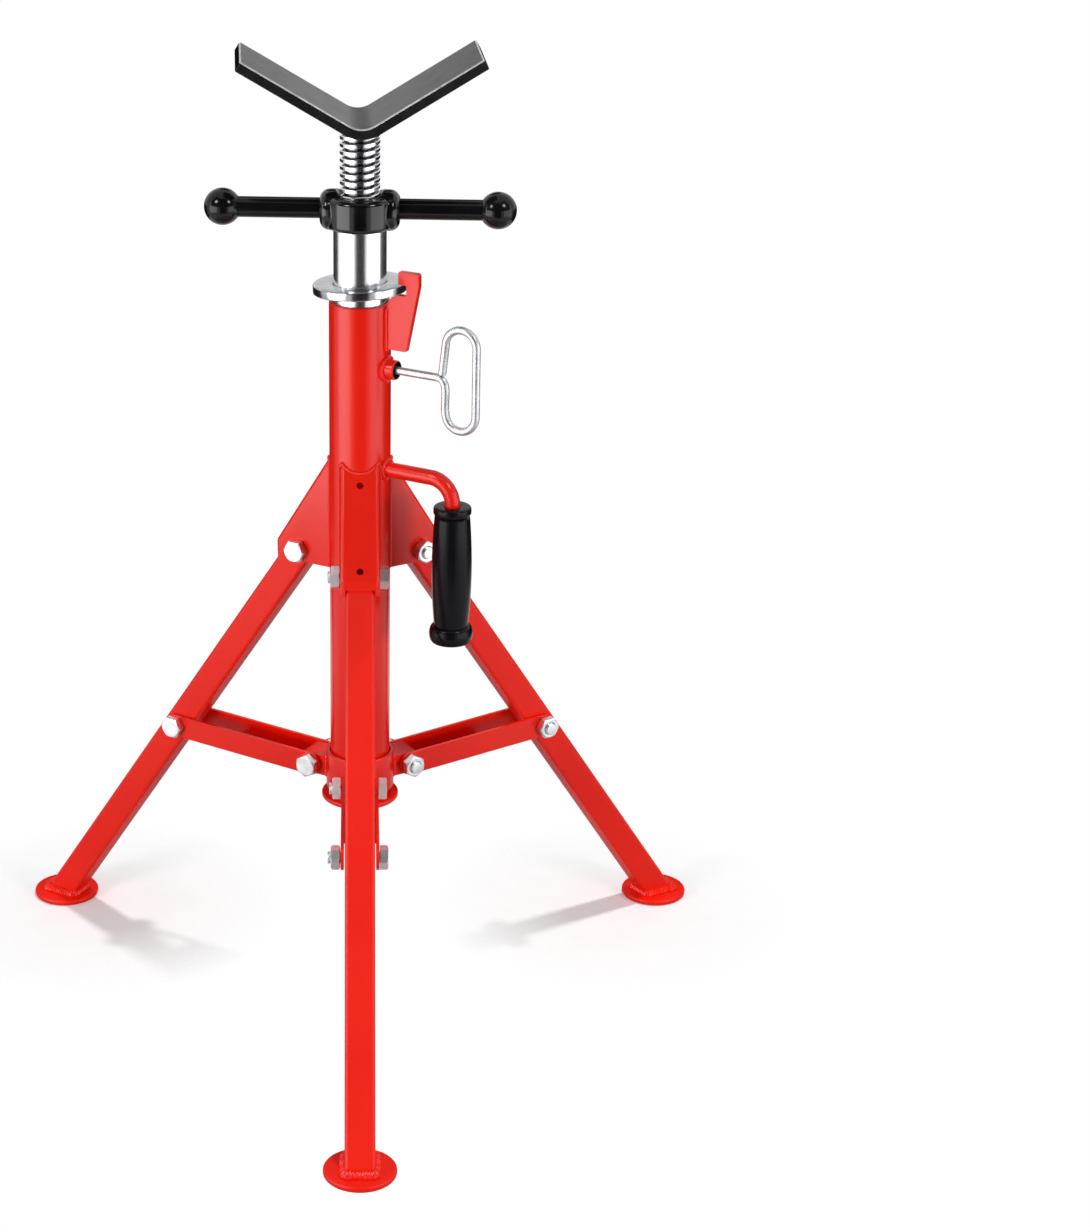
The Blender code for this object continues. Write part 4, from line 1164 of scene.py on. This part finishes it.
def v_weld():
    """Bead where the screw meets the underside of the V."""
    flat = V_OUTER * sin(V_SLOPE)
    path = []
    for x, y in circle(SCREW_WELD_R):
        bend = V_OUTER - sqrt(V_OUTER * V_OUTER - min(abs(x), flat) ** 2)
        path.append((x, y, bend + max(0, abs(x) - flat) * tan(V_SLOPE)))
    return bead(path, SCREW_WELD, Vector((0, 0, 1)), True)


def build_head():
    nut_turn = sector(NUT_YAW) @ place(0, 0, NUT_TOP - NUT_HEIGHT)
    part("jack_nut", nut_mesh(), nut_turn, CAST, "nut_handle")
    for name, spin in (("right", 0), ("left", pi)):
        arm = nut_turn @ place(0, 0, NUT_HEIGHT / 2) @ turn(spin, "Z") @ turn(pi / 2, "Y")
        bar = cylinder(BAR_R, BAR_START, BAR_REACH - BALL_NECK)
        part(f"nut_bar_{name}", bar, arm, BALL, "nut_handle")
        part(f"ball_knob_{name}", ball_mesh(), arm @ place(0, 0, BAR_REACH), BALL, "nut_handle")
    head = sector(V_YAW)
    thread = thread_mesh(SCREW_BOTTOM, V_BOTTOM + SCREW_INTO_V)
    part("jack_screw", thread, head, THREAD, "lifting_head")
    plate = weighted(prism(v_line(V_THICKNESS) + v_line(0)[::-1], V_WIDTH), round_top)
    at_v = head @ place(0, 0, V_BOTTOM + V_RISE)
    # Painted shade on the tips: black without reflections. The top edges get a lighter metal, partly wear
    # and partly a painted highlight.
    repaint(part("v_head", plate, at_v, PLATE, "lifting_head", edge=V_EDGE, worn=WEAR_AND_SHEEN), SHADE_BLACK, v_end)
    piece("v_weld", v_weld(), at_v, PLATE, "lifting_head")


def camera_rays(tree):
    """1 for rays from the camera and for those seen in metal or glass."""
    path = node(tree, "ShaderNodeLightPath")
    camera, mirror, glass = path["Is Camera Ray"], path["Is Glossy Ray"], path["Is Transmission Ray"]
    seen = node(tree, "ShaderNodeMath", camera, mirror, operation="ADD")["Value"]
    return node(tree, "ShaderNodeMath", seen, glass, operation="ADD", use_clamp=True)["Value"]


def mixed(tree, share, first, second):
    """Shader that goes from the first to the second by a share."""
    return node(tree, "ShaderNodeMixShader", share, first, second)["Shader"]


def build_world():
    """White for the camera, and a weaker light for everything else."""
    world = bpy.data.worlds.new("studio")
    bpy.context.scene.world = world
    world.use_nodes = True
    tree = world.node_tree
    tree.nodes.clear()
    ambient = node(tree, "ShaderNodeBackground", (*AMBIENT_TONE, 1), AMBIENT)["Background"]
    white = node(tree, "ShaderNodeBackground", (*WHITE, 1), 1.0)["Background"]
    node(tree, "ShaderNodeOutputWorld", mixed(tree, camera_rays(tree), ambient, white))


def staged(name, mesh, material):
    """Something of the studio, centred on the mast."""
    mesh.materials.append(material)
    item = linked(name, mesh)
    item.location = (0, MAST_Y, 0)
    return item


def spot_distance(tree, here):
    """Distance from the middle of the nearer floor spot."""
    apart = []
    for side in FLOOR_SPOTS:
        middle = (SPOT_R * cos(LEG_SIDES[side]), SPOT_R * sin(LEG_SIDES[side]), 0)
        apart.append(node(tree, "ShaderNodeVectorMath", here, middle, operation="DISTANCE")["Value"])
    return node(tree, "ShaderNodeMath", *apart, operation="MINIMUM")["Value"]


def floor_material():
    """Pale floor that keeps the shadows by the feet and fades to white. It is clear from below."""
    material = bpy.data.materials.new("floor")
    material.use_nodes = True
    tree = material.node_tree
    tree.nodes.clear()
    here = node(tree, "ShaderNodeTexCoord")["Object"]
    clear = node(tree, "ShaderNodeBsdfTransparent")["BSDF"]
    speckle = node(tree, "ShaderNodeTexNoise", here, Scale=40.0, Detail=3.0)["Fac"]
    pale = node(tree, "ShaderNodeBsdfDiffuse", ramped(tree, speckle, FLOOR_TONES))["BSDF"]
    glow = node(tree, "ShaderNodeEmission", Strength=FLOOR_GLOW)["Emission"]
    lit = node(tree, "ShaderNodeAddShader", pale, glow)["Shader"]
    shown = mixed(tree, ramped(tree, spot_distance(tree, here), FLOOR_FADE), lit, clear)
    grey = node(tree, "ShaderNodeBsdfDiffuse", (*FLOOR_GREY, 1))["BSDF"]
    reach = node(tree, "ShaderNodeVectorMath", here, operation="LENGTH")["Value"]
    outside = ramped(tree, reach, FLOOR_MIRRORED)
    far = node(tree, "ShaderNodeMath", outside, camera_rays(tree), operation="MULTIPLY")["Value"]
    mirrored = mixed(tree, far, grey, clear)
    above = mixed(tree, node(tree, "ShaderNodeLightPath")["Is Camera Ray"], mirrored, shown)
    surface = mixed(tree, node(tree, "ShaderNodeNewGeometry")["Backfacing"], above, clear)
    node(tree, "ShaderNodeOutputMaterial", surface)
    return material


def build_floor():
    bm = bmesh.new()
    half = FLOOR_SIZE / 2
    corners = ((-half, -half), (half, -half), (half, half), (-half, half))
    bm.faces.new([bm.verts.new((x, y, 0)) for x, y in corners])
    floor = staged("floor", to_mesh(bm), floor_material())
    floor.visible_shadow = False


def dark_card(name, azimuth, spread, bottom, top, material):
    """Upright curved dark card round the stand that only reflections see."""
    bm = bmesh.new()
    columns = []
    for x, y in arc((0, 0), CARD_R, azimuth - spread / 2, azimuth + spread / 2, ROUND_STEPS):
        columns.append((bm.verts.new((x, y, bottom)), bm.verts.new((x, y, top))))
    for (low, high), (next_low, next_high) in zip(columns, columns[1:]):
        bm.faces.new((low, next_low, next_high, high))
    card = staged(name, to_mesh(bm), material)
    for ray in ("camera", "diffuse", "shadow", "transmission"):
        setattr(card, f"visible_{ray}", False)


def lamp(name, azimuth, distance, height, size, energy, only_reflected):
    """Soft box at a bearing and distance from the mast, turned to the middle of the stand."""
    data = bpy.data.lights.new(name, "AREA")
    data.shape = "RECTANGLE"
    data.size, data.size_y = size
    data.energy = energy
    light = linked(name, data)
    light.location = (distance * cos(azimuth), MAST_Y + distance * sin(azimuth), height)
    way = Vector((0, MAST_Y, LAMP_AIM)) - light.location
    light.rotation_euler = way.to_track_quat("-Z", "Y").to_euler()
    light.visible_camera = False
    light.visible_diffuse = not only_reflected
    light.visible_glossy = only_reflected


def build_studio():
    build_world()
    build_floor()
    dark = finish("dark_card", "", CARD_TONES, (0.9, 1.0), 9.0, 700.0, 0.1, specular=0.0)
    for name, (bearing, spread, bottom, top) in CARDS.items():
        dark_card(name, radians(bearing), radians(spread), bottom, top, dark)
    for name, (bearing, *settings) in LAMPS.items():
        lamp(name, radians(bearing), *settings)


def build_camera():
    data = bpy.data.cameras.new("camera")
    camera = linked("camera", data)
    camera.location = (0, MAST_Y - CAMERA_BACK, CAMERA_Z)
    camera.rotation_euler = (pi / 2 - CAMERA_PITCH, 0, 0)
    width, height = IMAGE_SIZE
    data.sensor_width = SENSOR_WIDTH
    data.lens = FOCAL_PIXELS / height * SENSOR_WIDTH
    data.shift_x = (width / 2 - FRAME_CENTRE[0]) / height
    data.shift_y = (FRAME_CENTRE[1] - height / 2) / height
    bpy.context.scene.camera = camera


bpy.context.scene.view_settings.view_transform = "Standard"
build_tubes()
for leg_side, leg_azimuth in LEG_SIDES.items():
    build_leg(leg_side, leg_azimuth)
    build_brace(leg_side, leg_azimuth)
build_handle_side()
build_collar_clamp()
build_head()
build_studio()
build_camera()
